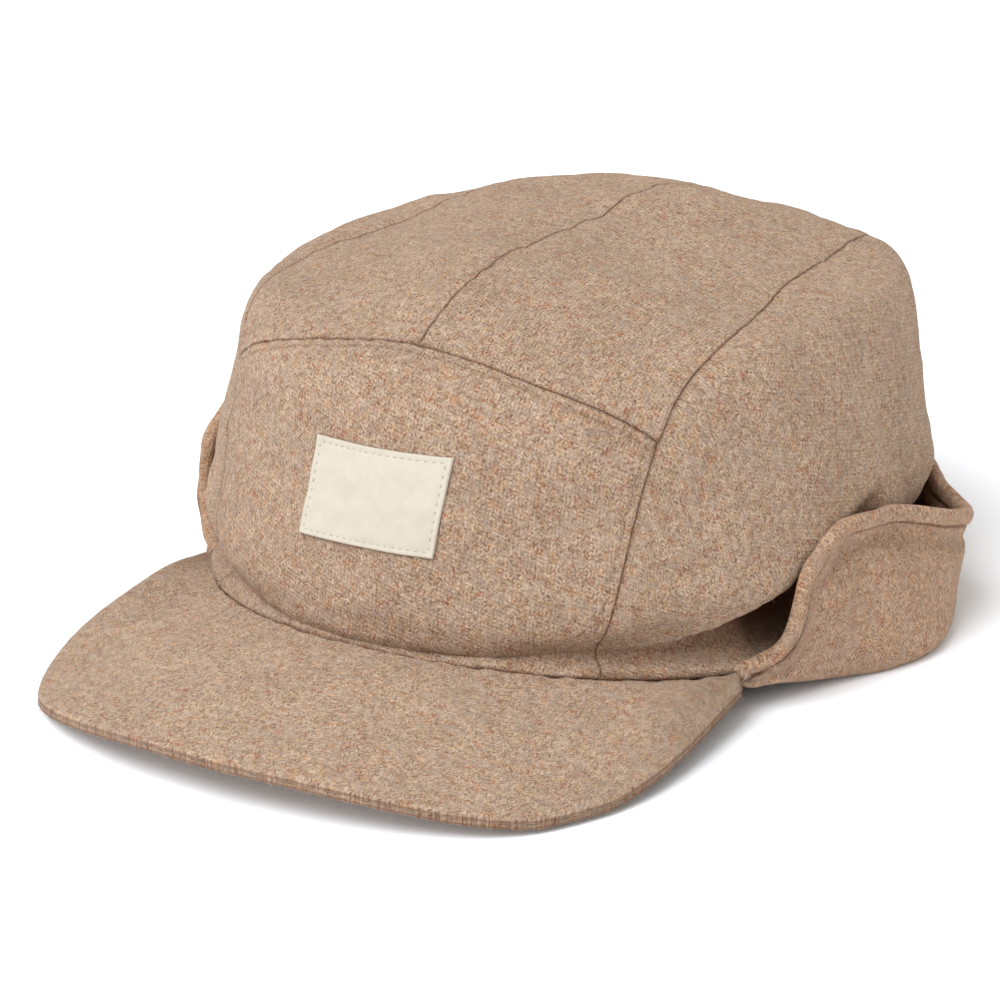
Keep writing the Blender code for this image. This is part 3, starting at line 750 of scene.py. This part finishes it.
def make_peak():
    across = 2 * crowded(PEAK_FACES_ACROSS, PEAK_CROWDING) - 1
    root, running, outward, _ = hem_frame(across * PEAK_END_ANGLE)
    thickness = 2 * PEAK_CLOTH + LAYER_GAP
    along = np.abs(across)
    lift = PEAK_MIDDLE_LIFT * read_column(PEAK_ROWS, "middle_lift", along)
    lift = lift + (root[0, 2] - thickness) * read_column(PEAK_ROWS, "end_lift", along)
    edge = CROWN_MIDDLE + stack(
        np.sign(across) * (SIDE_REACH - PEAK_SIDE_STEP) * read_column(PEAK_ROWS, "across", along),
        -FRONT_REACH * read_column(PEAK_ROWS, "hem", along)
        - PEAK_DEPTH * read_column(PEAK_ROWS, "depth", along),
        np.maximum(lift - PEAK_PRESS, 0) + thickness,
    )
    share = crowded(PEAK_FACES_DEEP)[:, None, None]
    top = (1 - share) * root + share * edge
    fullness = PEAK_FULLNESS * (1 - along**4) + hump(along, PEAK_SIDE_FULLNESS)
    top[..., 2] += (fullness + ripples(top, PEAK_RIPPLES)) * np.sin(np.pi * share[..., 0])
    tucked = [root - running * back - outward * down for back, down in PEAK_TUCK_ROWS]
    top = np.concatenate([np.stack(tucked), top])
    free_edge = np.concatenate([top[:0:-1, 0], top[-1], top[-2::-1, -1]])
    from_edge, edge_along = nearest_on(top, free_edge)
    from_root, root_along = nearest_on(top, root)
    up = np.array([0.0, 0.0, 1.0])
    swell = 1 + hump(from_edge, PEAK_SWELL)
    swell += ripples(as_line(edge_along), PEAK_EDGE_RIPPLES) * bell(from_edge, PEAK_EDGE_RIPPLE_REACH)
    half = PEAK_LAYER / 2 * swell * (1 - PEAK_CORNER_THINNING * bell(1 - along, PEAK_CORNER_WIDTH))
    at_root = rolled_in(from_root) + pucker(from_root, root_along, HEM_SEED)
    round_side = half * rounded(from_edge, PEAK_EDGE_ROLL)
    facing_side = half * rounded(from_edge, PEAK_FACING_ROLL)
    brown_and_painted_shade = PEAK_STAIN * np.maximum(bell(from_edge, PEAK_EDGE_STAIN_WIDTH), bell(from_root, SEAM_STAIN_WIDTH))
    pieces = []
    for name, depth, above, below in (
        ("peak_top_wool", PEAK_LAYER / 2, round_side + at_root, facing_side),
        ("peak_under_wool", 1.5 * PEAK_LAYER + PEAK_LAYER_GAP, facing_side, round_side),
    ):
        middle = top - up * depth
        upper = middle + up * np.maximum(above, THINNEST)[..., None]
        lower = middle - up * np.maximum(below, THINNEST)[..., None]
        lower[..., 2] = np.maximum(lower[..., 2], 0)
        if name == "peak_top_wool":
            shed_fuzz(upper, 0 * upper + up, PEAK_FUZZ)
        else:
            outward = unit(middle[-1] - middle[-2])[None]
            shed_fuzz(middle[-1:] - up * PEAK_EDGE_FUZZ_DROP, outward, PEAK_EDGE_FUZZ)
        pieces.append(add_sheet(name, upper, lower, cloth_places(top), brown_and_painted_shade))
    return pieces


FLAP_NOSE_LIFT = 2.4 * MM
FLAP_NOSE_WIDTH = 0.018
FLAP_EDGE_ROLL = 1.6 * MM
FLAP_GROOVE_AT = 4.8 * MM
FLAP_GROOVE_END_AT = 3.2 * MM
FLAP_GROOVE_ALONG = (0.08, 0.24)
FLAP_GROOVE_PLACE = 44.5
FLAP_GROOVE_ROUNDS = 3
FLAP_GROOVE_LEEWAY = 2
FLAP_GROOVE_SMOOTHING = 9
FLAP_GROOVE_WIDTH = 0.4 * MM
FLAP_GROOVE_BROWN_WIDTH = 0.55 * MM
FLAP_GROOVE_BROWN = 0.85
FLAP_GROOVE_DEPTH = 0.7 * MM
FLAP_GROOVE_INSIDE = 0.3
FLAP_GROOVE_OVERLAP = 0.4 * MM
FLAP_LIP_SWELL = 0.85
FLAP_LIP_RIPPLES = ((0.1, 7 * MM, 53),)
FLAP_LIP_RIPPLE_REACH = 7 * MM
FLAP_SWAY_STARTS = 4 * MM
FLAP_SWAY_GROWS = 10 * MM
FLAP_CREASE = Hump(0.8 * MM, 9 * MM, 2.2 * MM)


def make_flap():
    half = 1 - 2 * crowded(FLAP_FACES_ALONG, FLAP_END_CROWDING)
    along = 1 - np.abs(half)
    side = np.where(half < 0, -1.0, 1.0)
    hem_angle = read_column(FLAP_ROWS, "hem_angle", along)
    edge_angle = read_column(FLAP_ROWS, "edge_angle", along)
    fold = FLAP_STAND_OFF * read_column(FLAP_ROWS, "fold", along)
    edge = FLAP_STAND_OFF * read_column(FLAP_ROWS, "edge", along)
    height = FLAP_HEIGHT * read_column(FLAP_ROWS, "height", along)
    lift = FLAP_FRONT_LIFT * np.clip(1 - (along / FLAP_LIFT_ENDS_ALONG) ** 2, 0, 1) ** 2
    lift = lift + FLAP_NOSE_LIFT * bell(along, FLAP_NOSE_WIDTH)
    floor = lift + FLAP_CLOTH / 2
    hem, running, normal, level = hem_frame(hem_angle)
    start = running * HEM_GAP - normal * FLAP_CLOTH / 2
    start_out = np.sum(start * level, axis=-1)
    drop = hem[:, 2] + start[:, 2] - floor
    rise = height - floor
    lip = np.minimum(FLAP_LIP_HEIGHT, rise / 3)
    sections = []
    for at in FLAP_SECTION:
        angle = hem_angle + at.lean * (edge_angle - hem_angle)
        out = at.hem * start_out + at.fold * fold + at.edge * edge
        out = out - at.width * FLAP_FOLD_WIDTH - at.flare * FLAP_LIP_FLARE
        sections.append((angle, out, floor + at.drop * drop + at.rise * rise - at.lip * lip))
    sections = np.array(sections)
    knots = [at.knot for at in FLAP_SECTION]
    fold_end, wall_start, wall, top = knots[4], knots[5], knots[6], knots[-1]
    even = crowded(FLAP_FACES_UP, FLAP_EDGE_CROWDING) * top
    upper = slice(len(even) // 2, None)
    places = np.repeat(even[:, None], len(along), axis=1)
    groove_at = np.interp(along, FLAP_GROOVE_ALONG, (FLAP_GROOVE_END_AT, FLAP_GROOVE_AT))

    def middle_at(places):
        """The middle of the cloth for places between the section's knots, one column for each place along."""
        mix = np.stack([smooth_curve(knots, row, places) for row in np.eye(len(knots))], axis=-1)
        angle, out, height = np.einsum("rck,kic->irc", mix, sections)
        point, _, _, level = hem_frame(angle)
        middle = point + level * out[..., None]
        middle[..., 2] = np.maximum(height, floor)
        middle[..., 0] *= side
        return middle

    # One row of the grid is brought onto the lip's groove
    for _ in range(FLAP_GROOVE_ROUNDS):
        middle = middle_at(places)
        from_top, _ = nearest_on(middle, middle[-1])
        place = [np.interp(0.0, (at - gap)[upper], column[upper])
                 for at, gap, column in zip(groove_at, from_top.T, places.T)]
        place = np.clip(place, wall_start + FLAP_GROOVE_LEEWAY, top - FLAP_GROOVE_LEEWAY)
        place = np.pad(place, FLAP_GROOVE_SMOOTHING // 2, "edge")
        place = np.convolve(place, np.ones(FLAP_GROOVE_SMOOTHING) / FLAP_GROOVE_SMOOTHING, "valid")
        places = np.stack([np.interp(even, (0, fold_end, FLAP_GROOVE_PLACE, top), (0, fold_end, at, top))
                           for at in place], axis=1)
    middle = middle_at(places)
    free_edge = np.concatenate([middle[:, 0], middle[-1, 1:-1], middle[::-1, -1]])
    from_edge, edge_along = nearest_on(middle, free_edge)
    normal = grid_normals(middle)
    normal[0] = hem_frame(hem_angle)[2] * stack(side, np.ones_like(side), np.ones_like(side))
    sway = ripples(middle, FLAP_RIPPLES)
    sway *= np.clip((middle[..., 2] - FLAP_SWAY_STARTS) / FLAP_SWAY_GROWS, 0, 1)
    in_wall = np.clip((places - wall_start) / (wall - wall_start), 0, 1)
    sway += hump(from_edge, FLAP_CREASE) * in_wall
    middle = middle + normal * sway[..., None]
    in_lip = (top - even[:, None]) / (top - FLAP_GROOVE_PLACE)
    swell = 1 + FLAP_LIP_SWELL * np.sqrt(np.clip(1 - (2 * in_lip - 1) ** 2, 0, 1))
    swell = swell + ripples(as_line(edge_along), FLAP_LIP_RIPPLES) * bell(from_edge, FLAP_LIP_RIPPLE_REACH)
    from_groove, _ = nearest_on(middle, middle[np.argmin(np.abs(in_lip[:, 0] - 1))])
    groove = FLAP_GROOVE_DEPTH * bell(from_groove, FLAP_GROOVE_WIDTH)
    # The cloth is browner along the lip's groove
    brown_and_painted_shade = FLAP_GROOVE_BROWN * bell(from_groove, FLAP_GROOVE_BROWN_WIDTH)
    thick = np.maximum(FLAP_CLOTH / 2 * rounded(from_edge, FLAP_EDGE_ROLL) * swell, THINNEST)
    pocket_side = middle + normal * np.maximum(thick - FLAP_GROOVE_INSIDE * groove, THINNEST)[..., None]
    outer_thick = np.maximum(thick - groove, THINNEST - FLAP_GROOVE_OVERLAP * in_wall)
    outside = middle - normal * outer_thick[..., None]
    outside[..., 2] = np.maximum(outside[..., 2], 0)
    shed_fuzz(outside, -normal, FLAP_FUZZ)
    return [add_sheet("ear_flap_wool", pocket_side, outside, cloth_places(middle), brown_and_painted_shade)]


LABEL_LEAN = 5.5
LABEL_EDGE_ROLL = 0.5 * MM
LABEL_RIPPLES = ((0.12 * MM, 9 * MM, 61),)
LABEL_RIPPLE_STARTS = 5 * MM
LABEL_STITCH_INSET = 1.5 * MM
LABEL_STITCH_DIP = Hump(0.16 * MM, LABEL_STITCH_INSET, 0.6 * MM)
LABEL_STITCH_LENGTH = 1.1 * MM
LABEL_STITCH_PITCH = 2.2 * MM
LABEL_STITCH_RADIUS = 0.16 * MM
LABEL_STRAIGHTENING = 0.6 * MM


def label_places(right, climb):
    """Disk places on the front panel for places on the flat label."""
    turn = math.radians(LABEL_TURN)
    x = LABEL_SIDE_STEP + right * math.cos(turn) - climb * math.sin(turn)
    x = x + climb * math.tan(math.radians(LABEL_LEAN))
    climb = right * math.sin(turn) + climb * math.cos(turn)
    climb = climb + LABEL_STRAIGHTENING * (1 - (2 * right / LABEL_WIDTH) ** 2)
    out = np.linspace(FRONT_SEAM_MIDDLE_OUT, 1, LABEL_LINE_POINTS)
    reach, height = crown_profile("front", FRONT_REACH, HEM_FRONT_HEIGHT, out)
    length = np.concatenate([[0], np.cumsum(np.hypot(np.diff(reach), np.diff(height)))])
    middle = np.interp(-LABEL_MIDDLE_HEIGHT, -height, length)
    label_out = np.interp(middle - climb, length, out)
    side_reach, _ = crown_profile("side", SIDE_REACH, HEM_SIDE_HEIGHT, label_out)
    return disk_point(np.degrees(np.arcsin(x / side_reach)), label_out)


def on_label(right, climb, height):
    disk = label_places(right, climb)
    base = crown_surface(disk)
    return base + crown_normals(disk) * (soft_form(base) + SEAM_GAP + height)[..., None]


def label_height(right, climb):
    from_edge = np.minimum(LABEL_WIDTH / 2 - np.abs(right), LABEL_HEIGHT / 2 - np.abs(climb))
    puff = ripples(stack(right, climb, 0 * right), LABEL_RIPPLES)
    puff = puff * rounded(from_edge, LABEL_RIPPLE_STARTS)
    thick = LABEL_CLOTH * rounded(from_edge, LABEL_EDGE_ROLL) - hump(from_edge, LABEL_STITCH_DIP)
    return np.maximum(thick + puff, THINNEST)


def make_label():
    across = (crowded(LABEL_FACES_ACROSS, LABEL_CROWDING) - 0.5) * LABEL_WIDTH
    upward = (crowded(LABEL_FACES_UP, LABEL_CROWDING) - 0.5) * LABEL_HEIGHT
    right, climb = np.meshgrid(across, upward)
    outer = on_label(right, climb, label_height(right, climb))
    inner = on_label(right, climb, 0 * right)
    places = stack(right, climb)
    return add_sheet("label_cloth", outer, inner, places)


STITCH_SIDES = 8
STITCH_RINGS = 6
STITCH_BLUNTNESS = 0.08
STITCH_SINK = 0.75


def add_stitches(name, ends, radius):
    """Short threads between pairs of points, thick in the middle and pointed into the cloth at both ends."""
    points, faces = [], []
    for start, end, normal in ends:
        way = unit(end - start)
        across = unit(np.cross(way, normal))
        first = len(points)
        for i in range(STITCH_RINGS + 1):
            share = i / STITCH_RINGS
            bulge = math.sin(math.pi * (STITCH_BLUNTNESS + (1 - 2 * STITCH_BLUNTNESS) * share))
            centre = start + (end - start) * share + normal * radius * (bulge - STITCH_SINK)
            for turn in np.linspace(0, 2 * math.pi, STITCH_SIDES, endpoint=False):
                points.append(centre + radius * bulge * (across * math.cos(turn) + normal * math.sin(turn)))
        for i in range(STITCH_RINGS):
            for j in range(STITCH_SIDES):
                a = first + i * STITCH_SIDES + j
                b = first + i * STITCH_SIDES + (j + 1) % STITCH_SIDES
                faces.append((a, b, b + STITCH_SIDES, a + STITCH_SIDES))
        last = first + STITCH_RINGS * STITCH_SIDES
        faces.append(tuple(range(first + STITCH_SIDES - 1, first - 1, -1)))
        faces.append(tuple(range(last, last + STITCH_SIDES)))
    return add_mesh(name, points, faces)


def make_label_stitches():
    half_width = LABEL_WIDTH / 2 - LABEL_STITCH_INSET
    half_height = LABEL_HEIGHT / 2 - LABEL_STITCH_INSET
    ends = []
    for length, place in (
        (2 * half_width, lambda s: (s, half_height)),
        (2 * half_width, lambda s: (s, -half_height)),
        (2 * half_height, lambda s: (half_width, s)),
        (2 * half_height, lambda s: (-half_width, s)),
    ):
        count = round(length / LABEL_STITCH_PITCH)
        for i in range(count):
            middle = -length / 2 + (i + 0.5) * length / count
            pair = [np.array(place(middle + way * LABEL_STITCH_LENGTH / 2)) for way in (-1, 1)]
            start, end = (on_label(*np.array(p), label_height(*np.array(p))) for p in pair)
            ends.append((start, end, crown_normals(label_places(*pair[0]))))
    return add_stitches("label_stitches", ends, LABEL_STITCH_RADIUS)


# Materials
def linear(red, green, blue):
    """A colour as Blender's shaders take it, from the numbers of a screen colour."""
    values = [c / 255 for c in (red, green, blue)]
    return tuple(c / 12.92 if c <= 0.04045 else ((c + 0.055) / 1.055) ** 2.4 for c in values) + (1.0,)


class Nodes:
    """Makes and joins the nodes of one material."""

    def __init__(self, name):
        self.material = bpy.data.materials.new(name)
        self.material.use_nodes = True
        self.tree = self.material.node_tree
        self.shader = self.tree.nodes["Principled BSDF"]

    def add(self, kind, inputs=(), **settings):
        node = self.tree.nodes.new(kind)
        for name, value in settings.items():
            setattr(node, name, value)
        self.fill(node, dict(inputs))
        return node

    def fill(self, node, inputs):
        """Joins or sets the inputs of a node."""
        for name, value in inputs.items():
            if isinstance(value, bpy.types.NodeSocket):
                self.tree.links.new(value, node.inputs[name])
            else:
                node.inputs[name].default_value = value

    def noise(self, vector, scale, detail=2.0, roughness=0.5, distortion=0.0):
        return self.add("ShaderNodeTexNoise", {
            "Vector": vector, "Scale": scale, "Detail": detail, "Roughness": roughness,
            "Distortion": distortion,
        }).outputs["Fac"]

    def between(self, value, low, high, to_low=0.0, to_high=1.0):
        return self.add("ShaderNodeMapRange", {
            "Value": value, "From Min": low, "From Max": high, "To Min": to_low, "To Max": to_high,
        }, interpolation_type="SMOOTHSTEP").outputs["Result"]

    def math(self, operation, first, second):
        return self.add("ShaderNodeMath", {0: first, 1: second}, operation=operation).outputs[0]

    def mix(self, share, first, second, blend="MIX"):
        node = self.add("ShaderNodeMix", data_type="RGBA", blend_type=blend)
        self.fill(node, {0: share, 6: first, 7: second})
        return node.outputs[2]

    def bump(self, strength, distance, height):
        inputs = {"Strength": strength, "Distance": distance, "Height": height}
        return self.add("ShaderNodeBump", inputs).outputs["Normal"]

    def turned(self, vector, turn, stretch):
        """The vector turned, and then multiplied by the stretch along its new axes."""
        return self.add("ShaderNodeMapping", {
            "Vector": vector, "Rotation": (0.0, 0.0, math.radians(turn)),
            "Scale": tuple(1 / s for s in stretch),
        }, vector_type="TEXTURE").outputs["Vector"]


WOOL_LEVEL = 0.78
WOOL_TINT = (1.0, 0.948, 0.872)
WOOL_DARK = linear(114, 87, 70)
WOOL_BROWN = linear(162, 134, 114)
WOOL_MIDDLE = linear(190, 162, 139)
WOOL_PALE = linear(226, 208, 192)
WOOL_RUST = linear(168, 98, 68)
WOOL_GREY = linear(190, 174, 163)
WOOL_OCHRE = linear(204, 162, 110)
# Brown of seams and stitches, also used for the painted shade in the crown's pocket and over its crease
SEAM_BROWN_AND_SHADE = linear(108, 64, 42)
WOOL_SHEEN = linear(232, 214, 198)

# The weave's pitch, the share of it that Blender's wave texture has at scale 1, and the ways that the
# fibres lie: angle, and scale lengthwise and crosswise
WEAVE_PITCH = 1.03 * MM
WAVE_UNITS = 0.314
FIBRE_WAYS = ((48.0, 800.0, 2100.0), (-42.0, 800.0, 2100.0), (88.0, 900.0, 2300.0))


def wool(name, tint=(1.0, 1.0, 1.0), ribs=1.0, turn=0.0):
    """Heathered wool cloth: a fine zigzag of short fibres, from its flat places in metres."""
    n = Nodes(name)
    flat = n.add("ShaderNodeUVMap", uv_map="cloth").outputs["UV"]
    place = n.add("ShaderNodeTexCoord").outputs["Object"]
    one_way, other_way, fine = (
        n.noise(n.turned(flat, turn + angle, (lengthwise, crosswise, 1.0)), 1.0, 1.5, 0.6, 0.6)
        for angle, lengthwise, crosswise in FIBRE_WAYS
    )
    switch = n.between(n.noise(place, 850.0, 1.0), 0.46, 0.54)
    strokes = n.math("ADD", n.math("MULTIPLY", one_way, switch),
                     n.math("MULTIPLY", other_way, n.math("SUBTRACT", 1.0, switch)))
    strokes = n.math("ADD", n.math("MULTIPLY", strokes, 0.75), n.math("MULTIPLY", fine, 0.25))
    pale = n.between(strokes, 0.42, 0.60)
    colour = n.mix(pale, WOOL_BROWN, WOOL_PALE)
    colour = n.mix(0.34, colour, WOOL_MIDDLE)
    warm = n.noise(place, 560.0, 2.0, 0.6)
    cloud = n.noise(place, 210.0, 3.0, 0.6)
    for value, low, high, share, fibres in (
        (strokes, 0.46, 0.34, 0.75, WOOL_DARK),
        (warm, 0.50, 0.64, 0.36, WOOL_OCHRE),
        (cloud, 0.47, 0.68, 0.5, WOOL_GREY),
        (warm, 0.46, 0.34, 0.35, WOOL_GREY),
    ):
        colour = n.mix(n.between(value, low, high, 0.0, share), colour, fibres)
    rust = n.between(n.noise(place, 330.0, 3.0, 0.65), 0.50, 0.68, 0.0, 0.85)
    rust = n.math("MULTIPLY", rust, n.between(strokes, 0.56, 0.42, 0.15, 0.8))
    colour = n.mix(rust, colour, WOOL_RUST)
    blotch = n.between(n.noise(place, 60.0, 3.0, 0.6), 0.30, 0.72, 0.94, 1.06)
    blotch = n.math("MULTIPLY", blotch, n.between(n.noise(place, 480.0, 2.0, 0.6), 0.34, 0.66, 0.87, 1.105))
    rows, columns = (n.add("ShaderNodeTexWave", {
        "Vector": n.turned(flat, turn + angle, (1.0, 1.0, 1.0)), "Scale": WAVE_UNITS / WEAVE_PITCH,
        "Distortion": 1.7, "Detail": 2.0, "Detail Scale": 1.6, "Detail Roughness": 0.6,
    }, bands_direction="Y").outputs["Fac"] for angle in (-14.0, -88.0))
    bands = n.math("ADD", n.math("MULTIPLY", rows, 0.5), n.math("MULTIPLY", columns, 0.5))
    shade = n.math("MULTIPLY", blotch, n.between(bands, 0.1, 0.9, 1.0 - 0.12 * ribs, 1.0 + 0.09 * ribs))
    shade = n.add("ShaderNodeCombineColor", {"Red": shade, "Green": shade, "Blue": shade}).outputs["Color"]
    colour = n.mix(1.0, colour, shade, "MULTIPLY")
    # Mixed towards brown by the per-point share: the brown of seams, stitches, edges and the flap lip's
    # groove, and painted shade in the tucked pocket and over the crease
    colour = n.mix(n.add("ShaderNodeAttribute", attribute_name="brown_and_painted_shade").outputs["Fac"], colour, SEAM_BROWN_AND_SHADE)
    level = tuple(WOOL_LEVEL * a * b for a, b in zip(WOOL_TINT, tint)) + (1.0,)
    colour = n.mix(1.0, colour, level, "MULTIPLY")
    height = n.math("ADD", n.math("MULTIPLY", strokes, 1.5), n.math("MULTIPLY", bands, 0.3 * ribs))
    height = n.math("ADD", height, n.math("MULTIPLY", cloud, 0.8))
    n.fill(n.shader, {
        "Base Color": colour, "Normal": n.bump(0.8, 0.6 * MM, height), "Roughness": 0.95,
        "Specular IOR Level": 0.12, "Sheen Weight": 0.15, "Sheen Roughness": 0.6, "Sheen Tint": WOOL_SHEEN,
    })
    return n.material


LABEL_COLOUR = linear(210, 203, 189)
LABEL_SHADE = linear(201, 192, 176)
THREAD_COLOUR = linear(188, 180, 162)
FIBRE_COLOUR = linear(200, 182, 164)
THREAD_SHADE = 0.72


def label_cotton():
    """Fine plain-woven cotton."""
    n = Nodes("label_cotton")
    flat = n.add("ShaderNodeUVMap", uv_map="cloth").outputs["UV"]
    place = n.add("ShaderNodeTexCoord").outputs["Object"]
    threads = {"Vector": flat, "Scale": 900.0, "Distortion": 0.8, "Detail": 1.0}
    warp, weft = (n.add("ShaderNodeTexWave", threads, bands_direction=way).outputs["Fac"] for way in "XY")
    mottle = n.noise(place, 300.0, 3.0, 0.6)
    colour = n.mix(n.between(mottle, 0.35, 0.65, 0.0, 0.5), LABEL_COLOUR, LABEL_SHADE)
    weave = n.math("MULTIPLY", warp, weft)
    colour = n.mix(n.between(weave, 0.0, 1.0, 0.35, 0.0), colour, LABEL_SHADE)
    height = n.math("ADD", n.math("MULTIPLY", weave, 0.5), n.math("MULTIPLY", mottle, 0.8))
    n.fill(n.shader, {
        "Base Color": colour, "Normal": n.bump(0.4, 0.25 * MM, height), "Roughness": 0.85,
        "Specular IOR Level": 0.25,
    })
    return n.material


def thread(name, colour):
    """Thread or a fibre, with darker places."""
    n = Nodes(name)
    place = n.add("ShaderNodeTexCoord").outputs["Object"]
    mottle = n.noise(place, 1500.0, 2.0)
    darker = tuple(THREAD_SHADE * c for c in colour[:3]) + (1.0,)
    colour = n.mix(n.between(mottle, 0.35, 0.65), colour, darker)
    n.fill(n.shader, {"Base Color": colour, "Roughness": 0.8})
    return n.material


# Camera, floor and light
CAMERA_AZIMUTH = 31.71
CAMERA_ELEVATION = 20.61
CAMERA_DISTANCE = 1.1978
CAMERA_LENS = 158.94
SENSOR_WIDTH = 36.0
AIM = CROWN_MIDDLE + np.array([-0.00905, -0.020, 0.03187])
FLOOR_SIZE = 12.0
FLOOR_COLOUR = (0.885, 0.905, 0.94, 1.0)
WORLD_COLOUR = (1.0, 0.97, 0.905, 1.0)
WORLD_STRENGTH = 0.66

LightRow = namedtuple("LightRow", "name turn tip strength spread colour floor_only")
LIGHTS = [
    LightRow("key", -12.0, 55.0, 2.4, 40.0, (0.98, 1.005, 1.06), False),
    LightRow("floor_light", 0.0, 30.0, 2.2, 60.0, (1.0, 1.0, 1.0), True),
]


def direction(turn, tip):
    """The way from the cap's front turned round it and tipped up, in degrees."""
    turn, tip = math.radians(turn), math.radians(tip)
    return Vector((math.sin(turn) * math.cos(tip), -math.cos(turn) * math.cos(tip), math.sin(tip)))


def make_camera():
    back = direction(CAMERA_AZIMUTH, CAMERA_ELEVATION)
    camera = bpy.data.objects.new("camera", bpy.data.cameras.new("camera"))
    camera.data.lens = CAMERA_LENS
    camera.data.sensor_width = SENSOR_WIDTH
    camera.data.clip_start = 0.05
    camera.data.clip_end = 50.0
    camera.rotation_mode = "QUATERNION"
    camera.location = Vector(AIM) + back * CAMERA_DISTANCE
    camera.rotation_quaternion = (-back).to_track_quat("-Z", "Y")
    bpy.context.scene.collection.objects.link(camera)
    bpy.context.scene.camera = camera


def make_floor():
    half = FLOOR_SIZE / 2
    corners = np.array([(-half, -half, 0), (half, -half, 0), (half, half, 0), (-half, half, 0)], float)
    floor = add_mesh("floor", corners, [(0, 1, 2, 3)])
    n = Nodes("pale_floor")
    n.fill(n.shader, {"Base Color": FLOOR_COLOUR, "Roughness": 0.9, "Specular IOR Level": 0.1})
    floor.data.materials.append(n.material)
    return floor


def make_light(floor):
    scene = bpy.context.scene
    scene.view_settings.view_transform = "Standard"
    scene.view_settings.look = "None"
    world = bpy.data.worlds.new("studio")
    world.use_nodes = True
    world.node_tree.nodes["Background"].inputs["Color"].default_value = WORLD_COLOUR
    world.node_tree.nodes["Background"].inputs["Strength"].default_value = WORLD_STRENGTH
    scene.world = world
    for row in LIGHTS:
        data = bpy.data.lights.new(row.name, "SUN")
        data.energy = row.strength
        data.color = row.colour
        data.angle = math.radians(row.spread)
        light = bpy.data.objects.new(row.name, data)
        light.rotation_mode = "QUATERNION"
        light.rotation_quaternion = direction(row.turn, row.tip).to_track_quat("Z", "Y")
        scene.collection.objects.link(light)
        if row.floor_only:
            only = bpy.data.collections.new(row.name + "_only")
            only.objects.link(floor)
            light.light_linking.receiver_collection = only


def finish_piece(piece, material, node):
    piece.data.materials.append(material)
    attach(piece, "root")
    if node:
        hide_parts(node)


make_camera()
make_light(make_floor())
crown_wool = wool("crown_wool")
# Lighter and darker copies of the same wool for the peak: painted light on its upper layer, which faces up,
# and painted shade on its under layer, which faces the floor
peak_wool = wool("peak_wool", (1.06, 1.07, 1.08), ribs=0.5, turn=20.0)
under_wool = wool("under_wool", (0.92, 0.92, 0.92), ribs=0.5, turn=20.0)
# A warmer copy of the wool for the flap: painted warm shade, standing in for the warm bounce light in the
# shadow it stands in
flap_wool = wool("flap_wool", (1.03, 0.955, 0.905), turn=-30.0)
for piece in make_front_panel() + make_top_panels() + make_side_panels():
    finish_piece(piece, crown_wool, piece.name.removesuffix("_wool"))
peak_top, peak_under = make_peak()
finish_piece(peak_top, peak_wool, "peak_top")
finish_piece(peak_under, under_wool, "peak_under")
for piece in make_flap():
    finish_piece(piece, flap_wool, "ear_flap")
finish_piece(make_label(), label_cotton(), "front_label")
finish_piece(make_label_stitches(), thread("label_thread", THREAD_COLOUR), None)
finish_piece(make_fuzz(), thread("loose_fibre", FIBRE_COLOUR), None)
